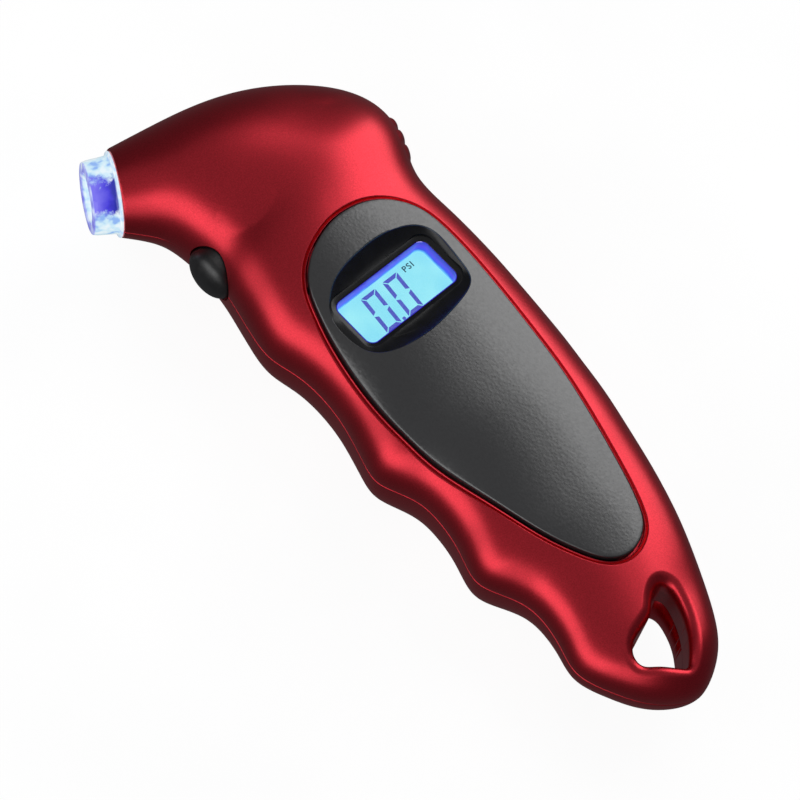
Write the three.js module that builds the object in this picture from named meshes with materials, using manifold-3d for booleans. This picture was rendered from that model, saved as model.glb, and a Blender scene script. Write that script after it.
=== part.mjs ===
// Digital tyre pressure gauge with a pistol-shaped clamshell body, millimetres, +Z up.
// The gauge lies on its back: +X runs along the display to the right, +Y runs up to the head,
// and z = 0 is the plane that it rests on. Inside the group below, z = 0 is the parting plane.
import * as THREE from "three";
import { mergeVertices } from "three/addons/utils/BufferGeometryUtils.js";
import Module from "manifold-3d";

const wasm = await Module();
wasm.setup();

// ---- driving dimensions ----------------------------------------------------------------
const REST = 14.6; // parting plane above the flat of the back
const CENTRE = { x: 0.96, y: 0.27 }; // brings the middle of the gauge over the origin
const SEAM = 0.3; // gap between the two shell halves
const WALL = 2.0; // side wall of the shells
const FRONT_ROOF = 3.2; // front shell under the face plate
const REAR_ROOF = 2.2; // rear shell
const PLATE_PROUD = 0.3; // rim of the face plate above the shell
const PLATE_THICK = 1.4;
const PLATE_GAP = 0.35;
const DECK = 12.2; // flat round the window, above the parting plane
const WINDOW = { x: -0.4, y: 14.9, w: 23.0, h: 10.8, r: 1.8 };
const BUTTON = { y: 43.9, bore: 5.8 };
const NOZZLE = { x: -22.4, y: 68.3, nx: -0.8765, ny: 0.4815, bore: 4.2 };
const DOOR = { x0: -14.5, x1: 8.1, y0: -43, y1: -6.6, outer: -14.2, inner: -12.4 };
const CELL = { x: -3.2, y: -18.2, r: 10, t: 3.2 }; // coin cell 20 x 3.2
const STACK = { y: -35.5, z: -6.5, r: 5.8, t: 5.4, x0: -11.4 }; // button cells 11.6 x 5.4
const BOARD = { z0: 1.6, z1: 3.2 };
const SCREWS = [
  { name: "shell_screw_1", x: 15.5, y: 52, seat: -9 },
  { name: "shell_screw_2", x: -10.5, y: 50.5, seat: -9 },
  { name: "shell_screw_3", x: 16.5, y: -8, seat: -9 },
  { name: "shell_screw_4", x: -6.5, y: -51.5, seat: -7.5 },
];
const BOARD_SCREWS = [
  { name: "board_screw_1", x: -14.5, y: 0.5 },
  { name: "board_screw_2", x: 14.5, y: 37 },
];

// Cross rungs of the body, from the nozzle down to the lanyard end:
// finger side x, y, back side x, y, front height, rear height, front and rear roundness.
const RUNGS = [
  [-26.8, 61.0, -18.4, 76.2, 8.4, 8.4, 2.0, 2.0],
  [-24.3, 58.2, -9.6, 74.6, 10.5, 9.9, 2.0, 2.0],
  [-21.8, 54.8, -0.7, 72.5, 12.6, 12.0, 2.1, 2.1],
  [-20.3, 50.5, 8.9, 69.2, 13.9, 14.0, 2.2, 2.4],
  [-19.6, 46.3, 18.4, 63.9, 14.6, 15.2, 2.3, 2.8],
  [-20.0, 42.0, 26.0, 57.0, 14.9, 15.6, 2.3, 3.0],
  [-20.7, 38.2, 28.8, 48.8, 14.9, 15.6, 2.4, 3.0],
  [-21.6, 34.2, 27.1, 40.5, 14.8, 15.6, 2.4, 3.0],
  [-22.6, 29.8, 23.9, 32.8, 14.6, 15.6, 2.4, 3.0],
  [-23.3, 23.8, 23.6, 24.3, 14.4, 15.6, 2.4, 3.1],
  [-22.0, 17.8, 23.7, 17.3, 14.2, 15.6, 2.4, 3.2],
  [-21.4, 11.3, 23.5, 10.3, 14.0, 15.6, 2.4, 3.3],
  [-22.3, 3.8, 23.0, 2.8, 13.8, 15.6, 2.4, 3.3],
  [-24.5, -3.9, 22.4, -4.7, 13.5, 15.6, 2.4, 3.2],
  [-25.0, -9.2, 21.8, -10.7, 13.2, 15.6, 2.4, 3.1],
  [-22.5, -15.2, 20.9, -16.7, 12.9, 15.6, 2.4, 3.2],
  [-21.8, -21.2, 19.9, -23.2, 12.5, 15.6, 2.4, 3.2],
  [-22.9, -27.7, 18.5, -29.7, 12.1, 15.6, 2.4, 3.1],
  [-24.7, -33.7, 17.1, -35.7, 11.6, 15.2, 2.4, 3.0],
  [-23.7, -38.3, 15.8, -40.7, 11.1, 14.5, 2.4, 3.0],
  [-21.3, -43.5, 14.1, -46.2, 10.5, 13.5, 2.4, 2.9],
  [-20.8, -48.7, 12.1, -51.7, 10.0, 12.4, 2.4, 2.8],
  [-21.9, -54.2, 9.7, -57.2, 9.5, 11.3, 2.4, 2.7],
  [-23.1, -59.7, 7.1, -62.7, 9.0, 10.3, 2.3, 2.6],
  [-21.2, -65.7, 3.8, -68.6, 8.6, 9.4, 2.3, 2.5],
  [-18.1, -71.2, -0.1, -73.5, 8.2, 8.8, 2.2, 2.4],
  [-14.2, -75.3, -5.0, -76.7, 7.9, 8.3, 2.2, 2.3],
];
const TIP = [-9.6, -77.6]; // lanyard end of the outline
const END_ROUND = 9; // length over which the end rounds off

// Leaf-shaped outline of the face plate.
const PLATE = [
  [0.3, 32.8], [-4.8, 31.8], [-9.6, 29.5], [-13.1, 25.7], [-14.9, 21.2], [-16.3, 15.5],
  [-17.7, 7.1], [-18.8, -2.1], [-18.8, -10.3], [-17.4, -18.1], [-15.5, -27.6],
  [-13.4, -36.6], [-10.2, -44.3], [-6.9, -49.4], [-2.7, -51.0], [1.2, -49.8],
  [3.9, -47.0], [6.6, -40.3], [9.6, -29.4], [12.6, -16.5], [14.3, -4.8], [15.6, 8.1],
  [16.0, 17.8], [15.3, 23.7], [13.2, 27.4], [10.2, 30.1], [5.9, 32.1],
];

// Lens-shaped scoop of the face plate around the display window.
const SCOOP = [
  [-14.2, 13.5], [-13.8, 18.6], [-10.8, 22.2], [-6.0, 24.2], [2.0, 24.8], [7.5, 23.9],
  [11.3, 22.1], [13.2, 18.8], [13.0, 14.0], [12.4, 9.8], [11.2, 7.3], [7.6, 5.6],
  [1.5, 4.5], [-3.8, 4.4], [-9.2, 5.6], [-13.0, 8.6],
];

// Rounded triangle of the lanyard hole.
const LANYARD = [
  [-1.8, -58.9], [-1.2, -60.6], [-2.9, -65.9], [-6.6, -70.9], [-8.9, -72.8], [-11.2, -71.2],
  [-14.7, -67.9], [-15.3, -66.2], [-14.8, -64.5], [-13.2, -63.1], [-9.4, -62.1], [-5.4, -59.7],
  [-3.2, -58.5],
];

// ---- solids ----------------------------------------------------------------------------
// Turns a closed three.js geometry into a solid that can be cut and joined.
function solid(geometry) {
  const g = geometry.clone();
  g.deleteAttribute("normal");
  g.deleteAttribute("uv");
  const m = mergeVertices(g, 1e-4);
  const index = m.index.array;
  const kept = [];
  for (let i = 0; i < index.length; i += 3) {
    const [a, b, c] = index.slice(i, i + 3);
    if (a !== b && b !== c && c !== a) kept.push(a, b, c);
  }
  return new wasm.Manifold(
    new wasm.Mesh({
      numProp: 3,
      vertProperties: m.attributes.position.array,
      triVerts: new Uint32Array(kept),
    }),
  );
}

// Turns a solid back into a three.js geometry.
function geometryOf(body) {
  const m = body.getMesh();
  const g = new THREE.BufferGeometry();
  g.setAttribute("position", new THREE.BufferAttribute(new Float32Array(m.vertProperties), 3));
  g.setIndex(new THREE.BufferAttribute(new Uint32Array(m.triVerts), 1));
  g.computeVertexNormals();
  return g;
}

// Closed solid through a list of rings with the same number of points; a ring of equal
// points closes to a pole.
function loft(rings) {
  const n = rings[0].length;
  const position = rings.flat().flatMap((p) => [p.x, p.y, p.z]);
  const index = [];
  for (let i = 0; i + 1 < rings.length; i++) {
    for (let j = 0; j < n; j++) {
      const k = (j + 1) % n;
      const [a, b, c, d] = [i * n + j, i * n + k, (i + 1) * n + k, (i + 1) * n + j];
      index.push(a, b, c, a, c, d);
    }
  }
  const last = (rings.length - 1) * n;
  for (let j = 1; j + 1 < n; j++) {
    index.push(0, j + 1, j);
    index.push(last, last + j, last + j + 1);
  }
  const g = new THREE.BufferGeometry();
  g.setAttribute("position", new THREE.Float32BufferAttribute(position, 3));
  g.setIndex(index);
  return solid(g);
}

const turned = (g, matrix) => solid(g.applyMatrix4(matrix));

function box(x0, x1, y0, y1, z0, z1) {
  const g = new THREE.BoxGeometry(x1 - x0, y1 - y0, z1 - z0);
  g.translate((x0 + x1) / 2, (y0 + y1) / 2, (z0 + z1) / 2);
  return solid(g);
}

// Cylinder along Z.
function post(x, y, z0, z1, r, sides = 14) {
  const g = new THREE.CylinderGeometry(r, r, z1 - z0, sides);
  g.rotateX(Math.PI / 2);
  g.translate(x, y, (z0 + z1) / 2);
  return solid(g);
}

// Extrudes an outline of [x, y] points from z0 to z1.
function prism(points, z0, z1) {
  const shape = new THREE.Shape(points.map(([x, y]) => new THREE.Vector2(x, y)));
  const g = new THREE.ExtrudeGeometry(shape, { depth: z1 - z0, bevelEnabled: false });
  g.translate(0, 0, z0);
  return solid(g);
}

// Smooth closed outline through its corner points, anticlockwise.
function smooth(points, steps) {
  const curve = new THREE.CatmullRomCurve3(
    points.map(([x, y]) => new THREE.Vector3(x, y, 0)),
    true,
    "catmullrom",
    0.5,
  );
  const loop = curve.getPoints(steps).slice(0, steps);
  if (THREE.ShapeUtils.isClockWise(loop)) loop.reverse();
  return loop.map((p) => [p.x, p.y]);
}

// Moves an outline outwards by d along its normals; outlines here run anticlockwise.
function grown(points, d) {
  const n = points.length;
  return points.map(([x, y], i) => {
    const [px, py] = points[(i + n - 1) % n];
    const [qx, qy] = points[(i + 1) % n];
    const length = Math.hypot(qx - px, qy - py);
    return [x + (d * (qy - py)) / length, y - (d * (qx - px)) / length];
  });
}

// Rectangle with round corners.
function roundRect(x, y, w, h, r, steps = 3) {
  const points = [];
  const corners = [[1, -1, -90], [1, 1, 0], [-1, 1, 90], [-1, -1, 180]];
  for (const [sx, sy, from] of corners) {
    for (let i = 0; i <= steps; i++) {
      const a = THREE.MathUtils.degToRad(from + (90 * i) / steps);
      const cx = x + sx * (w / 2 - r);
      const cy = y + sy * (h / 2 - r);
      points.push([cx + r * Math.cos(a), cy + r * Math.sin(a)]);
    }
  }
  return points;
}

// Lathe profile of [radius, distance along the axis] pairs, closed on itself or on the axis.
function lathe(profile, sides = 28) {
  return new THREE.LatheGeometry(profile.map(([r, s]) => new THREE.Vector2(r, s)), sides);
}

// Profile of a ring between two radii.
const ring = (r0, r1, s0, s1) => [[r0, s0], [r1, s0], [r1, s1], [r0, s1], [r0, s0]];

// Places a lathe on the nozzle axis, with distances measured outwards from the shell's end.
function onNozzle(g) {
  const out = new THREE.Vector3(NOZZLE.nx, NOZZLE.ny, 0);
  const side = new THREE.Vector3(0, 0, 1);
  const m = new THREE.Matrix4().makeBasis(new THREE.Vector3().crossVectors(out, side), out, side);
  m.setPosition(NOZZLE.x, NOZZLE.y, 0);
  return turned(g, m);
}

// Point on the nozzle axis.
const nozzlePoint = (s, z = 0) =>
  new THREE.Vector3(NOZZLE.x + s * NOZZLE.nx, NOZZLE.y + s * NOZZLE.ny, z);

// Places a lathe on the button axis, with distances measured along +X.
function onButton(g) {
  const m = new THREE.Matrix4().makeRotationZ(-Math.PI / 2);
  m.setPosition(0, BUTTON.y, 0);
  return turned(g, m);
}

// ---- body surface ----------------------------------------------------------------------
const vec2 = (x, y) => new THREE.Vector2(x, y);
const ROWS = RUNGS.length;
const outline = new THREE.SplineCurve([
  ...RUNGS.map((r) => vec2(r[0], r[1])),
  vec2(...TIP),
  ...RUNGS.map((r) => vec2(r[2], r[3])).reverse(),
]);
const along = (i) => new THREE.SplineCurve([...RUNGS, RUNGS.at(-1)].map((r) => vec2(r[i], r[i + 1])));
const heights = along(4);
const roundness = along(6);

// One cross-section of a half body at row u: side is 1 for the front and -1 for the rear,
// inset moves the sides in and lift raises the crown.
function section(u, side, inset, lift, steps) {
  const a = outline.getPoint(u / (2 * ROWS));
  const b = outline.getPoint(1 - u / (2 * ROWS));
  const d = b.clone().sub(a);
  const mid = a.clone().add(b).multiplyScalar(0.5);
  const half = d.length() / 2 - inset;
  d.normalize();
  const reach = Math.min(1, mid.distanceTo(vec2(...TIP)) / END_ROUND);
  const size = heights.getPoint(u / ROWS);
  const power = roundness.getPoint(u / ROWS);
  const height = (side > 0 ? size.x : size.y) * Math.sqrt(1 - (1 - reach) ** 2) + lift;
  const e = 2 / (side > 0 ? power.x : power.y);
  const points = [];
  for (let i = 0; i <= steps; i++) {
    const phi = (Math.PI * i) / steps;
    const c = Math.cos(phi);
    const t = -Math.sign(c) * Math.abs(c) ** e;
    const rise = Math.min(height * Math.abs(Math.sin(phi)) ** e, side > 0 ? 99 : REST + lift);
    const z = side * Math.max(rise, SEAM / 2);
    points.push(new THREE.Vector3(mid.x + d.x * half * t, mid.y + d.y * half * t, z));
  }
  return side > 0 ? points.reverse() : points;
}

// Half body between rows u0 and u1, closed by the parting plane.
function halfBody(side, inset, lift, u0, u1, count, steps) {
  const rings = [];
  for (let i = 0; i <= count; i++) {
    const u = u0 + ((u1 - u0) * i) / count;
    rings.push(section(u, side, inset, lift, steps));
  }
  if (u1 === ROWS) {
    const end = new THREE.Vector3(TIP[0], TIP[1], (side * SEAM) / 2);
    rings[count] = rings[count].map(() => end);
    rings.splice(count, 0, section(ROWS - 0.12, side, inset, lift, steps));
  }
  return loft(rings);
}

const join = (first, ...rest) => rest.reduce((a, b) => a.add(b), first);
const cut = (first, ...rest) => rest.reduce((a, b) => a.subtract(b), first);

// ---- features cut into or added to the shells ------------------------------------------
// Lanyard hole, flared towards both faces.
function lanyardHole() {
  const edge = smooth(LANYARD, 24);
  const levels = [[-12, 3.4], [-6, 0], [5.4, 0], [11, 3.4]];
  return loft(
    levels.map(([z, d]) => grown(edge, d).map(([x, y]) => new THREE.Vector3(x, y, z))),
  );
}

// Web across the neck that holds the nozzle core and its lamp.
function nozzleWeb(side) {
  const g = new THREE.BoxGeometry(30, 1.4, 30);
  g.translate(0, -9.2, 0);
  const inside = halfBody(side, 0.9, -0.9, 0.3, 3, 5, 8);
  const web = onNozzle(g).intersect(inside);
  const core = onNozzle(lathe([[0, -12], [2.95, -12], [2.95, -6], [0, -6]], 20));
  const lamp = new THREE.CylinderGeometry(1.8, 1.8, 6, 16);
  lamp.translate(0, -9.2, 5.2);
  return cut(web, core, onNozzle(lamp));
}

// Boss around the button's opening.
function buttonBoss(side) {
  const tube = onButton(lathe(ring(5.0, 7.6, -20.2, -16.9), 20));
  return tube.intersect(halfBody(side, 0.9, -0.9, 2, 8, 6, 8));
}

// Opening for the button and the space for its flange.
function buttonBore() {
  return join(
    onButton(lathe([[0, -30], [BUTTON.bore, -30], [BUTTON.bore, -16.8], [0, -16.8]], 24)),
    onButton(lathe([[0, -16.9], [7.2, -16.9], [7.2, -13.2], [0, -13.2]], 20)),
  );
}

// Grip ridges for the thumb, on the outer corner of the head.
function thumbRidges(side) {
  const lifted = halfBody(side, -0.55, 0, 5.2, 8.2, 8, 12);
  const bars = [0, 1, 2].map((i) => {
    const g = new THREE.BoxGeometry(12, 1.5, 16 - 2 * Math.abs(i - 1));
    g.rotateZ(THREE.MathUtils.degToRad(8 + 6 * i));
    g.translate(28 - 0.9 * i, 44.3 - 3 * i, 0);
    return solid(g);
  });
  return lifted.intersect(join(...bars));
}

const plateOutline = smooth(PLATE, 34);
const plateSheet = (lift) => halfBody(1, 0, lift, 5.5, 24, 16, 10);

function frontShell() {
  let shell = halfBody(1, 0, 0, 0, ROWS, 34, 10);
  const cavity = halfBody(1, WALL, -FRONT_ROOF, 0.45, 22.2, 14, 6);
  shell = cut(shell, cavity);
  const crown = halfBody(1, 1, -1, 0.5, 24, 14, 8);
  for (const s of SCREWS) shell = join(shell, post(s.x, s.y, SEAM / 2, 20, 3).intersect(crown));
  for (const s of BOARD_SCREWS) {
    shell = join(shell, post(s.x, s.y, BOARD.z1 + 0.3, 20, 2.4, 16).intersect(crown));
  }
  shell = join(shell, nozzleWeb(1), buttonBoss(1), thumbRidges(1));
  shell = cut(shell, nozzleBore(), buttonBore(), lanyardHole());
  const recess = prism(grown(plateOutline, PLATE_GAP), 0, 30).subtract(plateSheet(-PLATE_THICK));
  const w = WINDOW;
  shell = cut(
    shell,
    recess,
    prism(scoopEdge(1.05, 0.91), 5, 20),
    box(w.x - 13.5, w.x + 13.5, w.y - 7.9, w.y + 7.9, 3, 11),
  );
  for (const s of SCREWS) shell = cut(shell, post(s.x, s.y, -1, 7.5, 1.5, 14));
  for (const s of BOARD_SCREWS) shell = cut(shell, post(s.x, s.y, -1, 8, 1.2, 12));
  return shell;
}

// Bore of the nozzle end with the groove that captures the tip's collar.
function nozzleBore() {
  return join(
    onNozzle(lathe([[0, -6.6], [6.2, -6.6], [6.2, 2], [0, 2]], 20)),
    onNozzle(lathe([[0, -3.5], [7.1, -3.5], [7.1, -1.7], [0, -1.7]], 20)),
  );
}

// Rim that locates the rear shell inside the front shell.
function tongue(finger, u0, u1) {
  const inner = [];
  const outer = [];
  const count = Math.round(u1 - u0);
  for (let i = 0; i <= count; i++) {
    const u = u0 + ((u1 - u0) * i) / count;
    const a = outline.getPoint(u / (2 * ROWS));
    const b = outline.getPoint(1 - u / (2 * ROWS));
    const from = finger ? a : b;
    const d = (finger ? b.clone().sub(a) : a.clone().sub(b)).normalize();
    outer.push([from.x + d.x * (WALL + 1.4), from.y + d.y * (WALL + 0.9)]);
    inner.push([from.x + d.x * (WALL + 2.4), from.y + d.y * (WALL + 1.9)]);
  }
  const lip = [...outer, ...inner.reverse()];
  return finger ? lip : lip.reverse();
}

function rearShell() {
  let shell = halfBody(-1, 0, 0, 0, ROWS, 34, 10);
  const cavity = halfBody(-1, WALL, -REAR_ROOF, 0.45, 22.2, 14, 6);
  shell = cut(shell, cavity);
  const crown = halfBody(-1, 1, -1, 0.5, 24, 14, 8);
  const d = DOOR;
  const ledge = box(d.x0 - 3, d.x1 + 3, d.y0 - 1.5, d.y1 + 2, -20, -10.4).intersect(crown);
  shell = join(shell, ledge);
  for (const s of SCREWS) {
    shell = join(shell, post(s.x, s.y, -20, -SEAM / 2, 3).intersect(crown));
    shell = join(shell, post(s.x, s.y, -20, s.seat + 1.6, 4).intersect(crown));
  }
  shell = join(shell, nozzleWeb(-1), buttonBoss(-1), thumbRidges(-1));
  shell = join(shell, box(-7.4, -6.0, 40.5, 45.5, -20, -0.6).intersect(crown));
  let rim = join(prism(tongue(true, 8, 21), -2.2, 1.2), prism(tongue(false, 8, 21), -2.2, 1.2));
  for (const s of SCREWS) rim = rim.subtract(post(s.x, s.y, -SEAM / 2, 5, 3.4));
  shell = join(shell, rim, rimFoot(true, 8, 21), rimFoot(false, 8, 21));
  shell = cut(
    shell,
    nozzleBore(),
    buttonBore(),
    lanyardHole(),
    box(d.x0 - 0.3, d.x1 + 0.3, -56, d.y1 + 0.3, -20, -12.1),
    box(d.x0 - 1.2, d.x1 + 1.2, -56, d.y1 + 0.3, -13.5, -12.1),
    box(CELL.x - 10.3, CELL.x + 10.3, -41.6, -7.8, -13, -10),
  );
  for (const s of SCREWS) {
    shell = cut(shell, post(s.x, s.y, -20, s.seat, 2.7), post(s.x, s.y, -20, 1, 1.5, 14));
  }
  return shell;
}

// Foot that ties the locating rim to the rear shell's wall.
function rimFoot(finger, u0, u1) {
  const points = [];
  const back = [];
  const count = Math.round(u1 - u0);
  for (let i = 0; i <= count; i++) {
    const u = u0 + ((u1 - u0) * i) / count;
    const a = outline.getPoint(u / (2 * ROWS));
    const b = outline.getPoint(1 - u / (2 * ROWS));
    const from = finger ? a : b;
    const d = (finger ? b.clone().sub(a) : a.clone().sub(b)).normalize();
    points.push([from.x + d.x * 1.2, from.y + d.y * 1.2]);
    back.push([from.x + d.x * (WALL + 2.4), from.y + d.y * (WALL + 1.9)]);
  }
  const foot = [...points, ...back.reverse()];
  return prism(finger ? foot : foot.reverse(), -2.6, -0.5);
}

// ---- face plate and display ------------------------------------------------------------
// Scoop outline scaled about the middle of the window.
const scoopEdge = (kx, ky) =>
  smooth(SCOOP, 20).map(([x, y]) => [
    WINDOW.x + (x - WINDOW.x) * kx,
    WINDOW.y + (y - WINDOW.y) * ky,
  ]);

// Domed plate with a deck sunk round the window.
function facePlate() {
  const top = plateSheet(PLATE_PROUD + 0.5);
  const rim = plateSheet(PLATE_PROUD - 0.2);
  const under = plateSheet(-PLATE_THICK + PLATE_GAP);
  const flat = prism(plateOutline, 0, 30).intersect(rim);
  const crown = prism(grown(plateOutline, -0.7), 0, 30).intersect(top);
  const dome = join(flat, crown).subtract(under);
  const tub = prism(scoopEdge(1.01, 0.86), DECK - 0.9, 30).intersect(rim);
  const ringAt = (z, kx, ky) => scoopEdge(kx, ky).map(([x, y]) => new THREE.Vector3(x, y, z));
  const scoop = loft([ringAt(DECK, 0.9, 0.62), ringAt(DECK + 3.2, 1.22, 1)]);
  const w = WINDOW;
  return cut(join(dome, tub), scoop, prism(roundRect(w.x, w.y, w.w, w.h, w.r), 0, 30));
}

// Holder of the display: a box open to the board with a neck up to the window.
function lcdFrame() {
  const w = WINDOW;
  return cut(
    join(
      box(w.x - 13.1, w.x + 13.1, w.y - 7.5, w.y + 7.5, 3.5, 10.2),
      prism(roundRect(w.x, w.y, 24.2, 12.2, 1.5, 2), 10, 11),
    ),
    box(w.x - 12.3, w.x + 12.3, w.y - 6.7, w.y + 6.7, 3, 9.9),
    prism(roundRect(w.x, w.y, w.w, w.h, w.r), 9, 12),
  );
}

const displayStack = (z0, z1, dx = 12, dy = 6.4) =>
  box(WINDOW.x - dx, WINDOW.x + dx, WINDOW.y - dy, WINDOW.y + dy, z0, z1);

function circuitBoard() {
  const edge = [
    [-18, -5], [18, -5], [19.5, 20], [19.5, 36], [14, 42], [-5, 42], [-5, 36.4], [-16, 36.4],
    [-18, 33],
  ];
  let board = prism(edge, BOARD.z0, BOARD.z1);
  for (const s of [...BOARD_SCREWS]) board = board.subtract(post(s.x, s.y, 0, 5, 1.3, 12));
  return board.subtract(post(16.5, -8, 0, 5, 4, 20));
}

function pressureSensor() {
  const port = new THREE.CylinderGeometry(1.4, 1.4, 5, 16);
  port.translate(2, 39.9, 6);
  return join(box(-2.5, 6.5, 28.5, 37.5, 3.5, 8.2), solid(port)).subtract(
    turned(new THREE.CylinderGeometry(0.6, 0.6, 6, 10), new THREE.Matrix4().makeTranslation(2, 39.9, 6)),
  );
}

function airTube() {
  const path = new THREE.CatmullRomCurve3([
    nozzlePoint(-11.4),
    nozzlePoint(-14.5),
    new THREE.Vector3(-4.5, 57.2, 2),
    new THREE.Vector3(0.6, 50.5, 4.8),
    new THREE.Vector3(2, 43.5, 6),
    new THREE.Vector3(2, 38, 6),
  ]);
  const shape = new THREE.Shape().absarc(0, 0, 2.7, 0, 2 * Math.PI);
  shape.holes.push(new THREE.Path().absarc(0, 0, 1.7, 0, 2 * Math.PI, true));
  const g = new THREE.ExtrudeGeometry(shape, { extrudePath: path, steps: 10, curveSegments: 4 });
  return solid(g);
}

// ---- nozzle ----------------------------------------------------------------------------
function nozzleTip() {
  const b = NOZZLE.bore;
  return onNozzle(
    lathe(
      [
        [2.4, -6.4], [5.9, -6.4], [5.9, -3.2], [6.8, -3.2], [6.8, -2.0], [5.9, -2.0],
        [5.9, 0.5], [8.4, 0.5], [8.4, 0.95], [7.6, 1.3], [7.2, 5.2],
        [6.8, 5.9], [4.9, 6.0], [b, 5.4], [b, -5.0], [2.4, -5.0], [2.4, -6.4],
      ],
      24,
    ),
  );
}

const valveSeal = () =>
  onNozzle(lathe([[1.8, -4.7], [3.9, -4.7], [3.9, -3.6], [2.6, -3.1], [1.8, -3.6], [1.8, -4.7]], 18));

const depressorPin = () =>
  onNozzle(lathe([[0, -9], [0.7, -9], [0.7, -2.6], [0.4, -2.2], [0, -2.2]], 12));

const nozzleCore = () =>
  onNozzle(
    lathe(
      [
        [1.0, -14.4], [1.4, -14.4], [1.4, -11.1], [3.4, -11.1], [3.4, -10.2], [2.7, -10.2],
        [2.7, -8.2], [3.4, -8.2], [3.4, -6.7], [1.0, -6.7], [1.0, -14.4],
      ],
      14,
    ),
  );

function lamp() {
  const g = lathe([[0, -10.4], [1.5, -10.4], [1.5, -8.0], [1.1, -7.1], [0, -6.8]], 14);
  g.translate(0, 0, 5.2);
  return onNozzle(g);
}

// ---- button and switch -----------------------------------------------------------------
// A soft dome on a flanged skirt, with the stem that presses the switch.
const powerButton = () =>
  onButton(
    lathe(
      [
        [0, -13.9], [1.8, -13.9], [1.8, -15.5], [6.8, -15.5], [6.8, -16.5], [5.4, -16.5],
        [5.4, -19.9], [5.0, -21.1], [3.8, -22.2], [2.0, -22.7], [0, -22.8],
      ].reverse(),
      24,
    ),
  );

const switchPlunger = () =>
  onButton(lathe([[0, -13.6], [1.5, -13.6], [1.5, -11.2], [0, -11.2]], 14));

function tactSwitch() {
  const y = BUTTON.y;
  const hole = onButton(lathe([[0, -13], [1.8, -13], [1.8, -10], [0, -10]], 14));
  return box(-12.6, -9.4, y - 3, y + 3, -3, 3).subtract(hole);
}

// ---- batteries -------------------------------------------------------------------------
function batteryTray() {
  const w = CELL;
  return cut(
    join(box(w.x - 11.6, w.x + 11.6, -29.4, -7.0, -10.1, -5.6), box(w.x - 11.6, w.x + 11, -42.4, -28.4, -10.1, 0.8)),
    post(w.x, w.y, -11, -6.6, w.r + 0.3, 32),
    box(w.x - 10.4, w.x + 10.4, -41.6, -29.4, -11, -0.4),
  );
}

function buttonCell(i) {
  const g = new THREE.CylinderGeometry(STACK.r, STACK.r, STACK.t - 0.3, 24);
  g.rotateZ(Math.PI / 2);
  g.translate(STACK.x0 + STACK.t * (i + 0.5), STACK.y, STACK.z);
  return solid(g);
}

function coinCell() {
  const { x, y, r, t } = CELL;
  const z = -10.4;
  const g = lathe([[0, z], [r - 1.2, z], [r - 1.2, z + 0.5], [r, z + 0.8], [r, z + t], [0, z + t]], 24);
  g.rotateX(Math.PI / 2);
  g.translate(x, y, 0);
  return solid(g);
}

const stackContact = (x0, x1) => box(x0, x1, -39.5, -31.5, -10.4, -1.2);

function batteryDoor() {
  const d = DOOR;
  const face = box(d.x0, d.x1, d.y0, d.y1, -20, d.inner).intersect(
    halfBody(-1, 0, -(REST + d.outer), 10, 23, 26, 16),
  );
  const ribs = [0, 1, 2, 3, 4].map((i) => {
    const y = -31.5 - 2 * i;
    return box(CELL.x - 5, CELL.x + 5, y - 0.9, y, -15, -13.2).intersect(
      halfBody(-1, 0, -0.15, 17, 21, 8, 16),
    );
  });
  const rail = (x0, x1) => box(x0, x1, -36, d.y1 - 0.6, -13.2, d.inner);
  return join(face, rail(d.x0 - 0.9, d.x0 + 1), rail(d.x1 - 1, d.x1 + 0.9), ...ribs);
}

function shellScrew(s) {
  const z = s.seat - 0.3;
  const g = lathe([[0, z - 1.7], [1.7, z - 1.7], [2.3, z - 1.3], [2.3, z], [1.2, z], [1.2, 6.5], [0, 7]], 12);
  g.rotateX(Math.PI / 2);
  g.translate(s.x, s.y, 0);
  const slot = (a) => {
    const b = new THREE.BoxGeometry(2.2, 0.5, 1.4);
    b.rotateZ(a);
    b.translate(s.x, s.y, z - 1.7);
    return solid(b);
  };
  return cut(solid(g), slot(0.4), slot(0.4 + Math.PI / 2));
}

function boardScrew(s) {
  const g = lathe([[0, 0], [1.9, 0], [1.9, 1.3], [0.9, 1.3], [0.9, 7], [0, 7.4]], 14);
  g.rotateX(Math.PI / 2);
  g.translate(s.x, s.y, 0);
  return solid(g);
}

// ---- assembly --------------------------------------------------------------------------
const gauge = new THREE.Group();
gauge.name = "tyre_pressure_gauge";
gauge.position.set(CENTRE.x, CENTRE.y, REST);

function add(name, body, colour, roughness, metalness) {
  const material = new THREE.MeshStandardMaterial({ color: colour, roughness, metalness });
  const mesh = new THREE.Mesh(geometryOf(body), material);
  mesh.name = name;
  gauge.add(mesh);
}

const RED = 0xb8222f;
const BLACK = 0x232326;
const DARK = 0x17171a;
const WHITE = 0xe8e8ea;
const STEEL = 0xb9bcc0;
const BRASS = 0xc9a24a;

add("front_shell", frontShell(), RED, 0.35, 0.6);
add("rear_shell", rearShell(), RED, 0.35, 0.6);
add("face_plate", facePlate(), BLACK, 0.55, 0);
add("lcd_frame", lcdFrame(), WHITE, 0.5, 0);
add("display_window", displayStack(9.0, 9.6), 0xe8f4ff, 0.1, 0);
add("lcd_glass", displayStack(6.9, 8.7), 0x7fd6f5, 0.2, 0);
add("backlight_panel", displayStack(4.5, 6.6, 12, 5.0), 0xf2f6ff, 0.4, 0);
add("zebra_connector", box(-11, 10, 8.5, 9.6, 3.5, 6.6), 0xc66a7a, 0.7, 0);
add("circuit_board", circuitBoard(), 0x1f6b3a, 0.5, 0);
add("controller_chip", box(8.5, 16.5, 26, 33, 3.5, 4.8), DARK, 0.4, 0);
add("pressure_sensor", pressureSensor(), 0x2a2a30, 0.5, 0);
add("air_tube", airTube(), 0xd8dde0, 0.5, 0);
add("nozzle_tip", nozzleTip(), 0xdfe8ff, 0.1, 0);
add("valve_seal", valveSeal(), 0x1c1c1e, 0.8, 0);
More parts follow.
